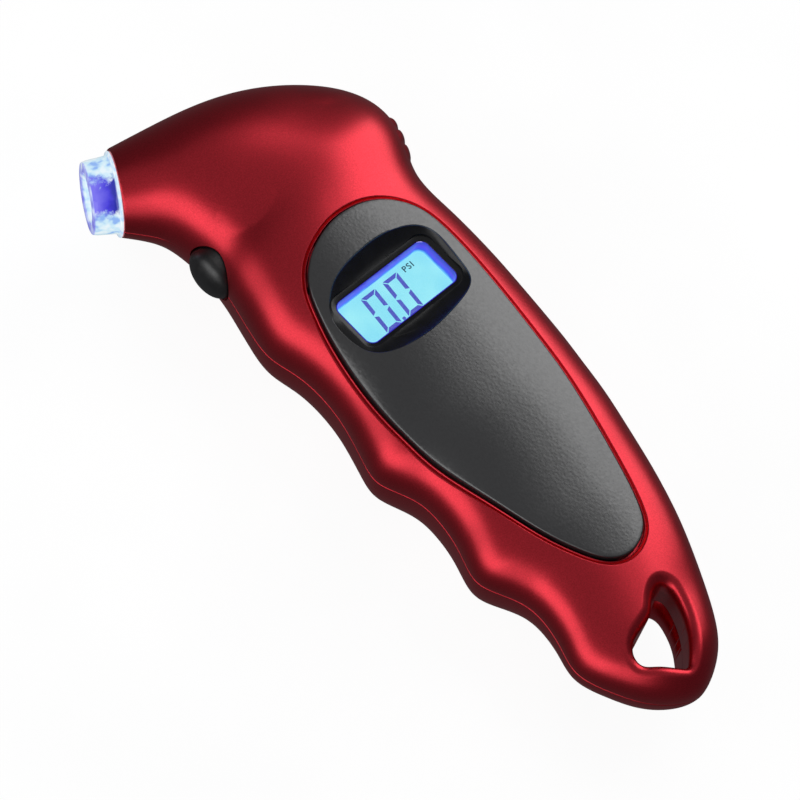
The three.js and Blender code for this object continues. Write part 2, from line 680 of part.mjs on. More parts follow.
add("depressor_pin", depressorPin(), BRASS, 0.3, 1);
add("nozzle_core", nozzleCore(), BRASS, 0.35, 1);
add("nozzle_lamp", lamp(), 0x6a7cff, 0.15, 0);
add("power_button", powerButton(), DARK, 0.6, 0);
add("switch_plunger", switchPlunger(), WHITE, 0.5, 0);
add("tact_switch", tactSwitch(), 0x2b2b2f, 0.5, 0);
add("switch_board", box(-9.1, -7.7, 39, 46.8, -5, 5), 0x1f6b3a, 0.5, 0);
add("battery_tray", batteryTray(), DARK, 0.6, 0);
add("coin_cell", coinCell(), STEEL, 0.3, 1);
for (const i of [0, 1, 2]) add("button_cell_" + (i + 1), buttonCell(i), STEEL, 0.3, 1);
add("coin_contact", box(-6, -0.4, -22, -14, -10.9, -10.6), STEEL, 0.3, 1);
add("stack_contact_plus", stackContact(-13.0, -12.4), STEEL, 0.3, 1);
add("stack_contact_minus", stackContact(5.6, 6.2), STEEL, 0.3, 1);
add("battery_door", batteryDoor(), RED, 0.35, 0.6);
for (const s of SCREWS) add(s.name, shellScrew(s), STEEL, 0.35, 1);
for (const s of BOARD_SCREWS) add(s.name, boardScrew(s), STEEL, 0.35, 1);

export default gauge;
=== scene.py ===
"""Looks of a digital tyre pressure gauge: fine shells, face plate, display, clear nozzle, button.

Shapes are worked out in the part's own millimetres, with z = 0 at the parting plane of the shells, and
become metres in the row frame when a piece is made.
"""

import math

import bmesh
import bpy
import numpy as np
from mathutils import Matrix, Vector
from mathutils.bvhtree import BVHTree

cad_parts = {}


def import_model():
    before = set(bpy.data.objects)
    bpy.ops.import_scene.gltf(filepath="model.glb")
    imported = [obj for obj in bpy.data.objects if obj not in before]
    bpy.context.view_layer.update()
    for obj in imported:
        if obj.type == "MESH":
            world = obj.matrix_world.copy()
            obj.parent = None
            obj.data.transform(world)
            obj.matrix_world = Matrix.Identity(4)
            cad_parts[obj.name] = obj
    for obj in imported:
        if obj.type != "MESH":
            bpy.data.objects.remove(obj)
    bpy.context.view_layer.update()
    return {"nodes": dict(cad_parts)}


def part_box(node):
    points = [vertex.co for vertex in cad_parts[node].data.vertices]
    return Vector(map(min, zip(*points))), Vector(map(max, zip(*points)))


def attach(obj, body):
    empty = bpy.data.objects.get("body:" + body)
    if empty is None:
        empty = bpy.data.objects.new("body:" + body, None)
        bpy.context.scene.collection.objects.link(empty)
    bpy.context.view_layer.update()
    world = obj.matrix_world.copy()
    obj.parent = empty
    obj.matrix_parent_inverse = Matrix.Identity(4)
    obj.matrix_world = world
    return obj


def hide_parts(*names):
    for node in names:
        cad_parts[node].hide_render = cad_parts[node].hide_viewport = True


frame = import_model()
MM = 0.001

# ---- dimensions that the CAD source also names, in millimetres ----
BOARD_CORNER = (-18.0, -5.0)  # lowest corner of the circuit board in the part's own frame
CAD_SEAM = 0.3  # whole gap between the CAD shells
REST = 14.6  # depth of the flat of the back under the parting plane
PLATE_THICK, PLATE_GAP, PLATE_CROWN = 1.4, 0.35, 0.8
DECK = 12.2  # height of the scoop's floor over the parting plane
WINDOW = dict(x=-0.4, y=14.9, w=23.0, h=10.8, r=1.8)
BUTTON_Y, BUTTON_BORE = 43.9, 5.8
NOZZLE_AT, NOZZLE_OUT = (-22.4, 68.3, 0.0), (-0.8765, 0.4815, 0.0)
DOOR = dict(x0=-14.5, x1=8.1, y0=-43.0, y1=-6.6, outer=14.2, inner=12.4)
DOOR_GAP, DOOR_RUN = 0.3, -56.0  # play round the door, and where its way towards the lanyard end stops
SCREWS = [(15.5, 52.0, -9.0), (-10.5, 50.5, -9.0), (16.5, -8.0, -9.0), (-6.5, -51.5, -7.5)]

# Cross rungs of the body, from the nozzle to the lanyard end: finger side x, y, back side x, y,
# front height, rear height, front and rear roundness.
RUNGS = [
    (-26.8, 61, -18.4, 76.2, 8.4, 8.4, 2, 2),
    (-24.3, 58.2, -9.6, 74.6, 10.5, 9.9, 2, 2),
    (-21.8, 54.8, -0.7, 72.5, 12.6, 12, 2.1, 2.1),
    (-20.3, 50.5, 8.9, 69.2, 13.9, 14, 2.2, 2.4),
    (-19.6, 46.3, 18.4, 63.9, 14.6, 15.2, 2.3, 2.8),
    (-20, 42, 26, 57, 14.9, 15.6, 2.3, 3),
    (-20.7, 38.2, 28.8, 48.8, 14.9, 15.6, 2.4, 3),
    (-21.6, 34.2, 27.1, 40.5, 14.8, 15.6, 2.4, 3),
    (-22.6, 29.8, 23.9, 32.8, 14.6, 15.6, 2.4, 3),
    (-23.3, 23.8, 23.6, 24.3, 14.4, 15.6, 2.4, 3.1),
    (-22, 17.8, 23.7, 17.3, 14.2, 15.6, 2.4, 3.2),
    (-21.4, 11.3, 23.5, 10.3, 14, 15.6, 2.4, 3.3),
    (-22.3, 3.8, 23, 2.8, 13.8, 15.6, 2.4, 3.3),
    (-24.5, -3.9, 22.4, -4.7, 13.5, 15.6, 2.4, 3.2),
    (-25, -9.2, 21.8, -10.7, 13.2, 15.6, 2.4, 3.1),
    (-22.5, -15.2, 20.9, -16.7, 12.9, 15.6, 2.4, 3.2),
    (-21.8, -21.2, 19.9, -23.2, 12.5, 15.6, 2.4, 3.2),
    (-22.9, -27.7, 18.5, -29.7, 12.1, 15.6, 2.4, 3.1),
    (-24.7, -33.7, 17.1, -35.7, 11.6, 15.2, 2.4, 3),
    (-23.7, -38.3, 15.8, -40.7, 11.1, 14.5, 2.4, 3),
    (-21.3, -43.5, 14.1, -46.2, 10.5, 13.5, 2.4, 2.9),
    (-20.8, -48.7, 12.1, -51.7, 10, 12.4, 2.4, 2.8),
    (-21.9, -54.2, 9.7, -57.2, 9.5, 11.3, 2.4, 2.7),
    (-23.1, -59.7, 7.1, -62.7, 9, 10.3, 2.3, 2.6),
    (-21.2, -65.7, 3.8, -68.6, 8.6, 9.4, 2.3, 2.5),
    (-18.1, -71.2, -0.1, -73.5, 8.2, 8.8, 2.2, 2.4),
    (-14.2, -75.3, -5, -76.7, 7.9, 8.3, 2.2, 2.3),
]
ROWS = len(RUNGS)
TIP = np.array([-9.6, -77.6])
END_ROUND = 9.0

# Leaf-shaped outline of the face plate, the lens-shaped scoop round its window and the rounded
# triangle of the lanyard hole, all anticlockwise.
PLATE = [
    (0.3, 32.8), (-4.8, 31.8), (-9.6, 29.5), (-13.1, 25.7), (-14.9, 21.2), (-16.3, 15.5),
    (-17.7, 7.1), (-18.8, -2.1), (-18.8, -10.3), (-17.4, -18.1), (-15.5, -27.6),
    (-13.4, -36.6), (-10.2, -44.3), (-6.9, -49.4), (-2.7, -51), (1.2, -49.8),
    (3.9, -47), (6.6, -40.3), (9.6, -29.4), (12.6, -16.5), (14.3, -4.8), (15.6, 8.1),
    (16, 17.8), (15.3, 23.7), (13.2, 27.4), (10.2, 30.1), (5.9, 32.1),
]
SCOOP = [
    (-14.2, 13.5), (-13, 8.6), (-9.2, 5.6), (-3.8, 4.4), (1.5, 4.5), (7.6, 5.6),
    (11.2, 7.3), (12.4, 9.8), (13, 14), (13.2, 18.8), (11.3, 22.1), (7.5, 23.9),
    (2, 24.8), (-6, 24.2), (-10.8, 22.2), (-13.8, 18.6),
]
LANYARD = [
    (-3.2, -58.5), (-5.4, -59.7), (-7.4, -61.4), (-9.4, -62.1), (-11.3, -62.5), (-13.2, -63.1),
    (-14.8, -64.5), (-15.3, -66.4), (-14.7, -67.9), (-13, -69.4), (-11.2, -71.2), (-9.6, -72.7),
    (-8.6, -72.8), (-6.6, -70.9), (-4.6, -68.6), (-2.9, -65.9), (-1.7, -63), (-1.2, -60.6),
    (-1.8, -58.9),
]

# ---- finer dimensions of the visible surfaces, in millimetres ----
SEAM = 0.06  # half the gap between the shells
SEAM_ROUND = 0.22
SCREEN = 8.2  # height of the lit screen over the parting plane
MARK = 0.05  # height of the digits over the screen
WELL_WALL = 0.14  # thickness of the lit wall round the screen
FLAT_BLEND = 0.9  # how softly the sides run into the flat of the back
STATIONS = 120  # points across a half section
ROW_STEP = 1 / 14  # of a rung
LANYARD_ROUND, LANYARD_WALL = 2.6, 1.2
FAR = 25  # past the body's surface on every side

# ---- from the part's frame to the row frame ----
board_low, shell_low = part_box("circuit_board")[0] / MM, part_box("front_shell")[0] / MM
ORIGIN = np.array(
    [board_low.x - BOARD_CORNER[0], board_low.y - BOARD_CORNER[1], shell_low.z - CAD_SEAM / 2]
)


# ---- curves ----
class Spline:
    """Curve with even curvature through its rows of values; whole numbers are its parameter."""

    def __init__(self, rows):
        self.rows = np.array(rows, float)
        n = len(self.rows)
        system, bend = np.eye(n), np.zeros_like(self.rows)
        for i in range(1, n - 1):
            system[i, i - 1 : i + 2] = 1, 4, 1
            bend[i] = 6 * (self.rows[i - 1] - 2 * self.rows[i] + self.rows[i + 1])
        self.bend = np.linalg.solve(system, bend)

    def __call__(self, u):
        u = np.asarray(u, float)
        i = np.clip(u.astype(int), 0, len(self.rows) - 2)
        w = (u - i)[..., None]
        v = 1 - w
        straight = v * self.rows[i] + w * self.rows[i + 1]
        return straight + ((v**3 - v) * self.bend[i] + (w**3 - w) * self.bend[i + 1]) / 6


def closed_curve(points, count, soften=0):
    """Evenly spaced points on a smooth closed outline."""
    n = len(points)
    dense = Spline(list(points) * 3)(np.linspace(n, 2 * n, 40 * n + 1))
    run = np.concatenate([[0], np.cumsum(np.linalg.norm(np.diff(dense, axis=0), axis=1))])
    even = np.linspace(0, run[-1], count, endpoint=False)
    loop = np.stack([np.interp(even, run, dense[:, k]) for k in (0, 1)], 1)
    for _ in range(soften):
        loop = (np.roll(loop, 1, 0) + 2 * loop + np.roll(loop, -1, 0)) / 4
    return loop


def grown(loop, distance):
    """An anticlockwise outline moved outwards."""
    along = np.roll(loop, -1, 0) - np.roll(loop, 1, 0)
    along /= np.linalg.norm(along, axis=1)[:, None]
    return loop + distance * np.stack([along[:, 1], -along[:, 0]], 1)


def round_rect(x, y, w, h, r, corner=10, side=14):
    """Rectangle with round corners, with points along its sides too."""
    arcs = []
    for sx, sy, start in [(1, -1, -90), (1, 1, 0), (-1, 1, 90), (-1, -1, 180)]:
        a = np.radians(start + 90 * np.arange(corner + 1) / corner)
        middle = (x + sx * (w / 2 - r), y + sy * (h / 2 - r))
        arcs.append(middle + r * np.stack([np.cos(a), np.sin(a)], 1))
    share = np.arange(1, side)[:, None] / side
    points = []
    for arc, following in zip(arcs, arcs[1:] + arcs[:1]):
        points += [arc, arc[-1] + (following[0] - arc[-1]) * share]
    return np.concatenate(points)


# ---- body surface ----
OUTLINE = Spline([r[:2] for r in RUNGS] + [tuple(TIP)] + [r[2:4] for r in reversed(RUNGS)])
SIZES = Spline([r[4:] for r in RUNGS] + [RUNGS[-1][4:]])


def soft_min(a, b, blend):
    """The smaller of two values, rounded over where they meet."""
    h = np.clip(1 - np.abs(a - b) / blend, 0, None)
    return np.minimum(a, b) - h * h * blend / 4


def rung(u, side, inset=0.0, lift=0.0):
    """Middle, direction, half width, height over the seam and roundness of half the section at row u."""
    a, b = OUTLINE(u), OUTLINE(2 * ROWS - np.asarray(u, float))
    mid, across = (a + b) / 2, b - a
    length = np.linalg.norm(across, axis=-1)
    across = across / np.maximum(length, 1e-9)[..., None]
    which = 0 if side > 0 else 1
    size = SIZES(u)
    reach = np.clip(np.linalg.norm(mid - TIP, axis=-1) / END_ROUND, 0, 1)
    height = size[..., which] * np.sqrt(1 - (1 - reach) ** 2.5) + lift - SEAM
    return mid, across, length / 2 - inset, np.maximum(height, 1e-4), size[..., 2 + which]


def section(u, side, inset=0.0, lift=0.0, stations=STATIONS, edge=0.0):
    """Points across half the body at row u, from the finger side over the crown to the back side."""
    mid, across, half, height, power = rung(float(u), side, inset, lift)
    half = max(half, 0.0)
    edge = min(edge, 0.4 * half, 0.4 * height)
    start = math.asin((edge / height) ** (power / 2)) if edge > 0 else 0.0
    phi = start + (np.pi - 2 * start) * (1 - np.cos(np.linspace(0, np.pi, 1200))) / 2
    x = -half * np.sign(np.cos(phi)) * np.abs(np.cos(phi)) ** (2 / power)
    z = height * np.abs(np.sin(phi)) ** (2 / power)
    if side < 0:
        z = soft_min(z, REST + lift - SEAM, FLAT_BLEND)
    run = np.concatenate([[0], np.cumsum(np.hypot(np.diff(x), np.diff(z)))])
    even = np.linspace(0, run[-1], stations)
    x, z = np.interp(even, run, x), np.interp(even, run, z)
    if edge > 0:
        turn = np.radians([0, 22.5, 45, 67.5])
        ze = edge * (1 - np.cos(turn))
        xe = half * (1 - (ze / height) ** power) ** (1 / power) - edge * (1 - np.sin(turn))
        x = np.concatenate([-xe, x, xe[::-1]])
        z = np.concatenate([ze, z, ze[::-1]])
    flat = mid + across * x[:, None]
    return np.column_stack([flat, side * (SEAM + np.maximum(z, 0))])


def locate(points):
    """Row and share of the half width at (x, y) points."""
    low, high = np.zeros(len(points)), np.full(len(points), ROWS - 0.2)
    for _ in range(36):
        u = (low + high) / 2
        a, b = OUTLINE(u), OUTLINE(2 * ROWS - u)
        d, p = b - a, points - a
        ahead = d[:, 0] * p[:, 1] - d[:, 1] * p[:, 0] > 0
        high, low = np.where(ahead, u, high), np.where(ahead, low, u)
    return u


def surface_height(points, side):
    """Height of the body over the parting plane at (x, y) points."""
    mid, across, half, height, power = rung(locate(points), side)
    share = np.einsum("ij,ij->i", points - mid, across) / half
    z = height * (1 - np.clip(np.abs(share), 0, 1) ** power) ** (1 / power)
    return SEAM + (z if side > 0 else soft_min(z, REST - SEAM, FLAT_BLEND))


# ---- temporary solids, in millimetres in the part's frame ----
def in_scene(name, data):
    """New object in the scene."""
    made = bpy.data.objects.new(name, data)
    bpy.context.scene.collection.objects.link(made)
    return made


def evaluated_mesh(thing):
    """Mesh of an object with its modifiers applied, or of its text."""
    return bpy.data.meshes.new_from_object(thing.evaluated_get(bpy.context.evaluated_depsgraph_get()))


def values(items, name, kind=np.float32, width=1):
    """Array of one property of all the items of a mesh."""
    found = np.zeros(len(items) * width, kind)
    items.foreach_get(name, found)
    return found.reshape(-1, width) if width > 1 else found


def temporary(points, faces):
    """Closed temporary object; its faces are turned outwards."""
    mesh = bpy.data.meshes.new("temporary")
    mesh.from_pydata([tuple(p) for p in points], [], faces)
    bm = bmesh.new()
    bm.from_mesh(mesh)
    bmesh.ops.remove_doubles(bm, verts=bm.verts, dist=1e-5)
    bmesh.ops.dissolve_degenerate(bm, edges=bm.edges, dist=1e-6)
    if bm.calc_volume(signed=True) < 0:
        bmesh.ops.reverse_faces(bm, faces=bm.faces)
    bm.to_mesh(mesh)
    bm.free()
    return in_scene("temporary", mesh)


def loft(rings, closed=False):
    """Solid through a stack of rings of equal length; closed joins the last ring to the first."""
    rings = np.asarray(rings, float)
    count, n = rings.shape[:2]
    index = np.arange(count * n).reshape(count, n)
    if closed:
        index = np.vstack([index, index[:1]])
    a, d = index[:-1], index[1:]
    b, c = np.roll(a, -1, 1), np.roll(d, -1, 1)
    faces = np.stack([a, b, c, d], -1).reshape(-1, 4).tolist()
    if not closed:
        faces += [index[0][::-1].tolist(), index[-1].tolist()]
    return temporary(rings.reshape(-1, 3), faces)


def at_height(loop, z):
    """Ring of a flat outline at one height, or at a height for each point."""
    return np.column_stack([loop, np.broadcast_to(z, len(loop))])


def on_surface(loop, side, offset):
    """Ring of a flat outline laid on the body's surface, offset outwards."""
    return at_height(loop, side * (surface_height(loop, side) + offset))


def prism(loop, z0, z1):
    return loft([at_height(loop, z0), at_height(loop, z1)])


def box(x0, x1, y0, y1, z0, z1):
    return prism(np.array([(x0, y0), (x1, y0), (x1, y1), (x0, y1)]), z0, z1)


def turned(profile, origin, axis, sides=72):
    """Solid turned from (radius, distance) pairs; they start and end on the axis, or close."""
    axis = np.array(axis, float) / np.linalg.norm(axis)
    helper = np.array([0, 0, 1.0]) if abs(axis[2]) < 0.9 else np.array([1.0, 0, 0])
    first = np.cross(helper, axis)
    first /= np.linalg.norm(first)
    second = np.cross(axis, first)
    angle = np.linspace(0, 2 * np.pi, sides, endpoint=False)
    spoke = np.cos(angle)[:, None] * first + np.sin(angle)[:, None] * second
    rings = [np.array(origin) + r * spoke + s * axis for r, s in profile]
    on_axis = profile[0][0] == 0 and profile[-1][0] == 0
    return loft(rings, closed=not on_axis)


def rounded(profile, radius, steps=4, closed=False):
    """Profile with its corners rounded off by up to radius."""
    p = [np.array(q, float) for q in profile]
    n = len(p)
    made = []
    for i, q in enumerate(p):
        if not closed and i in (0, n - 1):
            made.append(tuple(q))
            continue
        before, after = p[(i - 1) % n] - q, p[(i + 1) % n] - q
        lb, la = np.linalg.norm(before), np.linalg.norm(after)
        r = min(radius, 0.45 * lb, 0.45 * la)
        start, end = q + before / lb * r, q + after / la * r
        for k in range(steps + 1):
            w = k / steps
            made.append(tuple((1 - w) ** 2 * start + 2 * w * (1 - w) * q + w * w * end))
    return made


def post(x, y, z0, z1, r, sides=48):
    return turned([(0, 0), (r, 0), (r, z1 - z0), (0, z1 - z0)], (x, y, z0), (0, 0, 1), sides)


def copy_of(node):
    """Temporary copy of a CAD node, in the part's millimetres."""
    made = in_scene("temporary", frame["nodes"][node].data.copy())
    made.data.transform(Matrix.Translation(Vector(-ORIGIN)) @ Matrix.Scale(1 / MM, 4))
    bm = bmesh.new()
    bm.from_mesh(made.data)
    bmesh.ops.remove_doubles(bm, verts=bm.verts, dist=1e-4)
    bm.to_mesh(made.data)
    bm.free()
    return made


def combine(target, *steps):
    """Applies (operation, solid) steps to a temporary solid: UNION, DIFFERENCE or INTERSECT."""
    for operation, other in steps:
        modifier = target.modifiers.new("step", "BOOLEAN")
        modifier.operation = operation
        modifier.object = other
        modifier.solver = "MANIFOLD"
    mesh = evaluated_mesh(target)
    target.modifiers.clear()
    target.data = mesh
    for _, other in steps:
        bpy.data.objects.remove(other)
    if not len(mesh.polygons):
        raise RuntimeError("a boolean step left nothing")
    return target


def cut(target, *others):
    return combine(target, *[("DIFFERENCE", o) for o in others])


def join(target, *others):
    return combine(target, *[("UNION", o) for o in others])


# ---- shading normals ----
SHARP = math.radians(35)


def corner_normals(mesh):
    return values(mesh.corner_normals, "vector", width=3)


class Skin:
    """The uncut surface of a solid, which lends its shading normals to what is left after cuts."""

    def __init__(self, solid):
        mesh = solid.data.copy()
        mesh.shade_smooth()
        mesh.set_sharp_from_angle(angle=SHARP)
        mesh.calc_loop_triangles()
        corners = values(mesh.loop_triangles, "loops", np.int32, 3)
        self.triangles = values(mesh.loop_triangles, "vertices", np.int32, 3)
        self.points = values(mesh.vertices, "co", width=3).astype(float)
        self.normals = corner_normals(mesh)[corners]
        self.tree = BVHTree.FromPolygons(
            [tuple(p) for p in self.points], self.triangles.tolist(), all_triangles=True
        )
        bpy.data.meshes.remove(mesh)

    def at(self, points, near=0.02):
        """Normals at points, and which points lie on the skin."""
        normals = np.zeros((len(points), 3))
        lies = np.zeros(len(points), bool)
        for i, p in enumerate(points):
            found, _, index, _ = self.tree.find_nearest(Vector(p), near)
            if index is None:
                continue
            a, b, c = self.points[self.triangles[index]]
            v0, v1, v2 = b - a, c - a, np.array(found) - a
            d00, d01, d11, d20, d21 = v0 @ v0, v0 @ v1, v1 @ v1, v2 @ v0, v2 @ v1
            bottom = d00 * d11 - d01 * d01
            if abs(bottom) < 1e-18:
                continue
            v, w = (d11 * d20 - d01 * d21) / bottom, (d00 * d21 - d01 * d20) / bottom
            normals[i] = np.array([1 - v - w, v, w]) @ self.normals[index]
            lies[i] = True
        return normals, lies


def shade(mesh, skin=None):
    """Smooth shading with sharp edges, and the skin's own normals where the surface is uncut."""
    mesh.shade_smooth()
    mesh.set_sharp_from_angle(angle=SHARP)
    if skin is None:
        return
    borrowed, lies = skin.at(values(mesh.vertices, "co", width=3).astype(float))
    normals = corner_normals(mesh).copy()
    vertex = values(mesh.loops, "vertex_index", np.int32)
    face_of = np.repeat(np.arange(len(mesh.polygons)), values(mesh.polygons, "loop_total", np.int32))
    facing = values(mesh.polygons, "normal", width=3)[face_of]
    agree = np.einsum("ij,ij->i", facing, borrowed[vertex]) > math.cos(SHARP)
    use = lies[vertex] & agree
    normals[use] = borrowed[vertex][use]
    lengths = np.linalg.norm(normals, axis=1)
    normals /= np.maximum(lengths, 1e-9)[:, None]
    mesh.normals_split_custom_set(normals.tolist())


def piece(name, solid, materials, node=None, body="case", skin=None):
    """Makes a temporary solid a piece that rides on a body and replaces the CAD node of its name."""
    mesh = solid.data
    mesh.materials.clear()
    for m in materials if isinstance(materials, list) else [materials]:
        mesh.materials.append(m)
    shade(mesh, skin)
    mesh.transform(Matrix.Scale(MM, 4) @ Matrix.Translation(Vector(ORIGIN)))
    solid.name = mesh.name = name
    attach(solid, body)
    if node or name.lower() in frame["nodes"]:
        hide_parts(node or name.lower())
    return solid


# ---- materials ----
def add_node(tree, kind, inputs=None, **settings):
    """New node with these settings; inputs are values or sockets to link from, by name or number."""
    made = tree.nodes.new(kind)
    for key, value in settings.items():
        setattr(made, key, value)
    for key, value in (inputs or {}).items():
        if isinstance(value, bpy.types.NodeSocket):
            tree.links.new(value, made.inputs[key])
        else:
            made.inputs[key].default_value = value
    return made


class Material:
    """A node material built round one Principled shader."""

    def __init__(self, name, colour, roughness, metallic=0.0, **sockets):
        self.made = bpy.data.materials.new(name)
        self.made.use_nodes = True
        self.tree = self.made.node_tree
        self.shader = self.tree.nodes["Principled BSDF"]
        sockets.update(Base_Color=(*colour, 1), Roughness=roughness, Metallic=metallic)
        for key, value in sockets.items():
            self.shader.inputs[key.replace("_", " ")].default_value = value
        self.place = self.node("ShaderNodeTexCoord").outputs["Object"]

    def node(self, kind, inputs=None, **settings):
        return add_node(self.tree, kind, inputs, **settings)

    def link(self, source, target):
        self.tree.links.new(source, target)

    def noise(self, size, detail=3.0, roughness=0.5):
        """Noise with features of this size in millimetres."""
        given = {"Scale": 1 / (size * MM), "Detail": detail, "Roughness": roughness}
        return self.node("ShaderNodeTexNoise", {"Vector": self.place, **given}).outputs["Fac"]

    def cells(self, size, feature="F1", jitter=1.0):
        given = {"Vector": self.place, "Scale": 1 / (size * MM), "Randomness": jitter}
        return self.node("ShaderNodeTexVoronoi", given, feature=feature).outputs["Distance"]

    def ramp(self, source, stops):
        """Colour ramp; stops are (position, colour or grey)."""
        made = self.node("ShaderNodeValToRGB", {"Fac": source})
        elements = made.color_ramp.elements
        while len(elements) < len(stops):
            elements.new(0.5)
        for element, (position, colour) in zip(elements, stops):
            element.position = position
            grey = isinstance(colour, (int, float))
            element.color = (colour,) * 3 + (1,) if grey else (*colour, 1)
        return made.outputs["Color"]

    def level(self, low, high):
        """0 to 1 between two heights over the parting plane, in millimetres."""
        apart = self.node("ShaderNodeSeparateXYZ", {"Vector": self.place})
        return self.cut_in(apart.outputs["Z"], (low + ORIGIN[2]) * MM, (high + ORIGIN[2]) * MM)

    def cut_in(self, source, start, end):
        """0 to 1 while the source runs from start to end."""
        given = {"Value": source, "From Min": start, "From Max": end}
        return self.node("ShaderNodeMapRange", given).outputs["Result"]

    def maths(self, operation, *terms):
        """Math node; terms are sockets or numbers."""
        return self.node("ShaderNodeMath", dict(enumerate(terms)), operation=operation).outputs[0]

    def mix(self, share, first, second):
        given = {"Factor": share, "A": first, "B": second}
        return self.node("ShaderNodeMix", given, data_type="RGBA").outputs["Result"]

    def glow(self, source, stops, strength=1.0):
        self.link(self.ramp(source, stops), self.shader.inputs["Emission Color"])
        self.shader.inputs["Emission Strength"].default_value = strength
        return self

    def colour(self, source, stops):
        self.link(self.ramp(source, stops), self.shader.inputs["Base Color"])
        return self

    def roughness(self, source, low, high):
        self.link(self.ramp(source, [(0.3, low), (0.7, high)]), self.shader.inputs["Roughness"])
        return self

    def bump(self, source, height, strength=1.0):
        """Bump of this height in millimetres on the shader, on top of any before it."""
        given = {"Height": source, "Distance": height * MM, "Strength": strength}
        before = self.shader.inputs["Normal"].links
        if before:
            given["Normal"] = before[0].from_socket
        made = self.node("ShaderNodeBump", given)
        self.link(made.outputs["Normal"], self.shader.inputs["Normal"])
        return self


def shell_paint():
    """Red metallic lacquer: fine flake under a satin clear coat."""
    m = Material("shell_paint", (0.7, 0.028, 0.046), 0.36, 1.0, Coat_Weight=0.35, Coat_Roughness=0.3)
    m.colour(m.noise(0.25, 2.0), [(0.3, (0.6, 0.021, 0.035)), (0.7, (0.78, 0.033, 0.055))])
    m.roughness(m.noise(9.0), 0.34, 0.38)
    m.bump(m.cells(0.22), 0.0015, 0.5)
    m.bump(m.noise(0.9), 0.003, 0.4)
    return m.made


def plate_plastic():
    """Black plastic with a fine pebbled grain."""
    m = Material("plate_plastic", (0.01, 0.0105, 0.012), 0.42, Specular_IOR_Level=1.0, IOR=1.65)
    m.colour(m.noise(0.5), [(0.3, (0.009, 0.0095, 0.011)), (0.7, (0.017, 0.0175, 0.019))])
    m.roughness(m.noise(0.7), 0.28, 0.36)
    m.bump(m.cells(0.55, "SMOOTH_F1"), 0.05, 0.45)
    m.bump(m.noise(0.3), 0.012, 0.5)
    return m.made


def scoop_plastic():
    """The plate's smooth black bezel."""
    m = Material("scoop_plastic", (0.006, 0.0065, 0.008), 0.3)
    m.colour(m.noise(3.0), [(0.3, (0.005, 0.0055, 0.0065)), (0.7, (0.009, 0.0095, 0.011))])
    m.roughness(m.noise(1.5), 0.26, 0.34)
    m.bump(m.noise(0.4), 0.004, 0.3)
    return m.made


def plastic(name, low, high, roughness=0.45, grain=0.35, height=0.012, **sockets):
    m = Material(name, low, roughness, **sockets)
    m.colour(m.noise(2.5), [(0.3, low), (0.7, high)])
    m.roughness(m.noise(1.2), roughness - 0.05, roughness + 0.07)
    m.bump(m.noise(grain), height, 0.4)
    return m.made


def metal(name, low, high, roughness=0.28):
    m = Material(name, low, roughness, 1.0)
    m.colour(m.noise(1.2), [(0.3, low), (0.7, high)])
    m.roughness(m.noise(0.6), roughness - 0.06, roughness + 0.1)
    m.bump(m.noise(0.15), 0.003, 0.4)
    return m.made


def board_resist():
    """Green solder resist with tracks that show as faint lines."""
    m = Material("board_resist", (0.01, 0.12, 0.04), 0.35, Coat_Weight=0.4)
    tracks = m.cells(2.2, "DISTANCE_TO_EDGE", 0.6)
    m.colour(tracks, [(0.04, (0.03, 0.22, 0.08)), (0.09, (0.01, 0.1, 0.035))])
    m.bump(tracks, 0.03, 0.5)
    return m.made


def lit_screen():
    """Cyan backlight of the display with a fine liquid-crystal grain."""
    m = Material("lit_screen", (0.02, 0.06, 0.08), 0.35)
    m.glow(m.noise(6.0, 1.0), [(0.25, (0.26, 0.8, 0.97)), (0.75, (0.36, 0.92, 1.0))])
    m.bump(m.noise(0.2), 0.002, 0.2)
    return m.made


def screen_ink(name, dark, light):
    m = Material(name, dark, 0.4)
    m.glow(m.noise(1.5), [(0.3, dark), (0.7, light)])
    return m.made


def lit_wall():
    """Display frame's wall with a painted glow of the backlight: deep blue at the top, violet streaks,
    paler where it meets the screen.
    """
    m = Material("lit_wall", (0.02, 0.015, 0.15), 0.3)
    streaks = m.maths("MULTIPLY_ADD", m.noise(3.0, 2.0), 0.5, -0.25)
    height = m.maths("ADD", m.level(SCREEN, DECK - 0.35), streaks)
    blues = [(0.02, (0.12, 0.5, 0.92)), (0.25, (0.02, 0.03, 0.72))]
    # Painted backlight glow on the wall, set by height over the screen and streaked by noise.
    m.glow(height, [*blues, (0.6, (0.07, 0.01, 0.66)), (0.9, (0.015, 0.006, 0.42))])
    m.bump(m.noise(0.5), 0.01, 0.3)
    return m.made


def lit_edge():
    # Painted bright violet glow of the backlight on the upper rim of the display's wall.
    m = Material("lit_edge", (0.1, 0.08, 0.3), 0.3)
    m.glow(m.noise(4.0), [(0.3, (0.3, 0.24, 0.86)), (0.7, (0.5, 0.46, 0.98))])
    m.roughness(m.noise(1.0), 0.25, 0.4)
    return m.made


def clear_cover():
    """Clear sheet that mostly lets the display through."""
    m = Material("clear_cover", (0.02, 0.05, 0.06), 0.06, Alpha=0.06)
    m.roughness(m.noise(2.0), 0.04, 0.08)
    return m.made


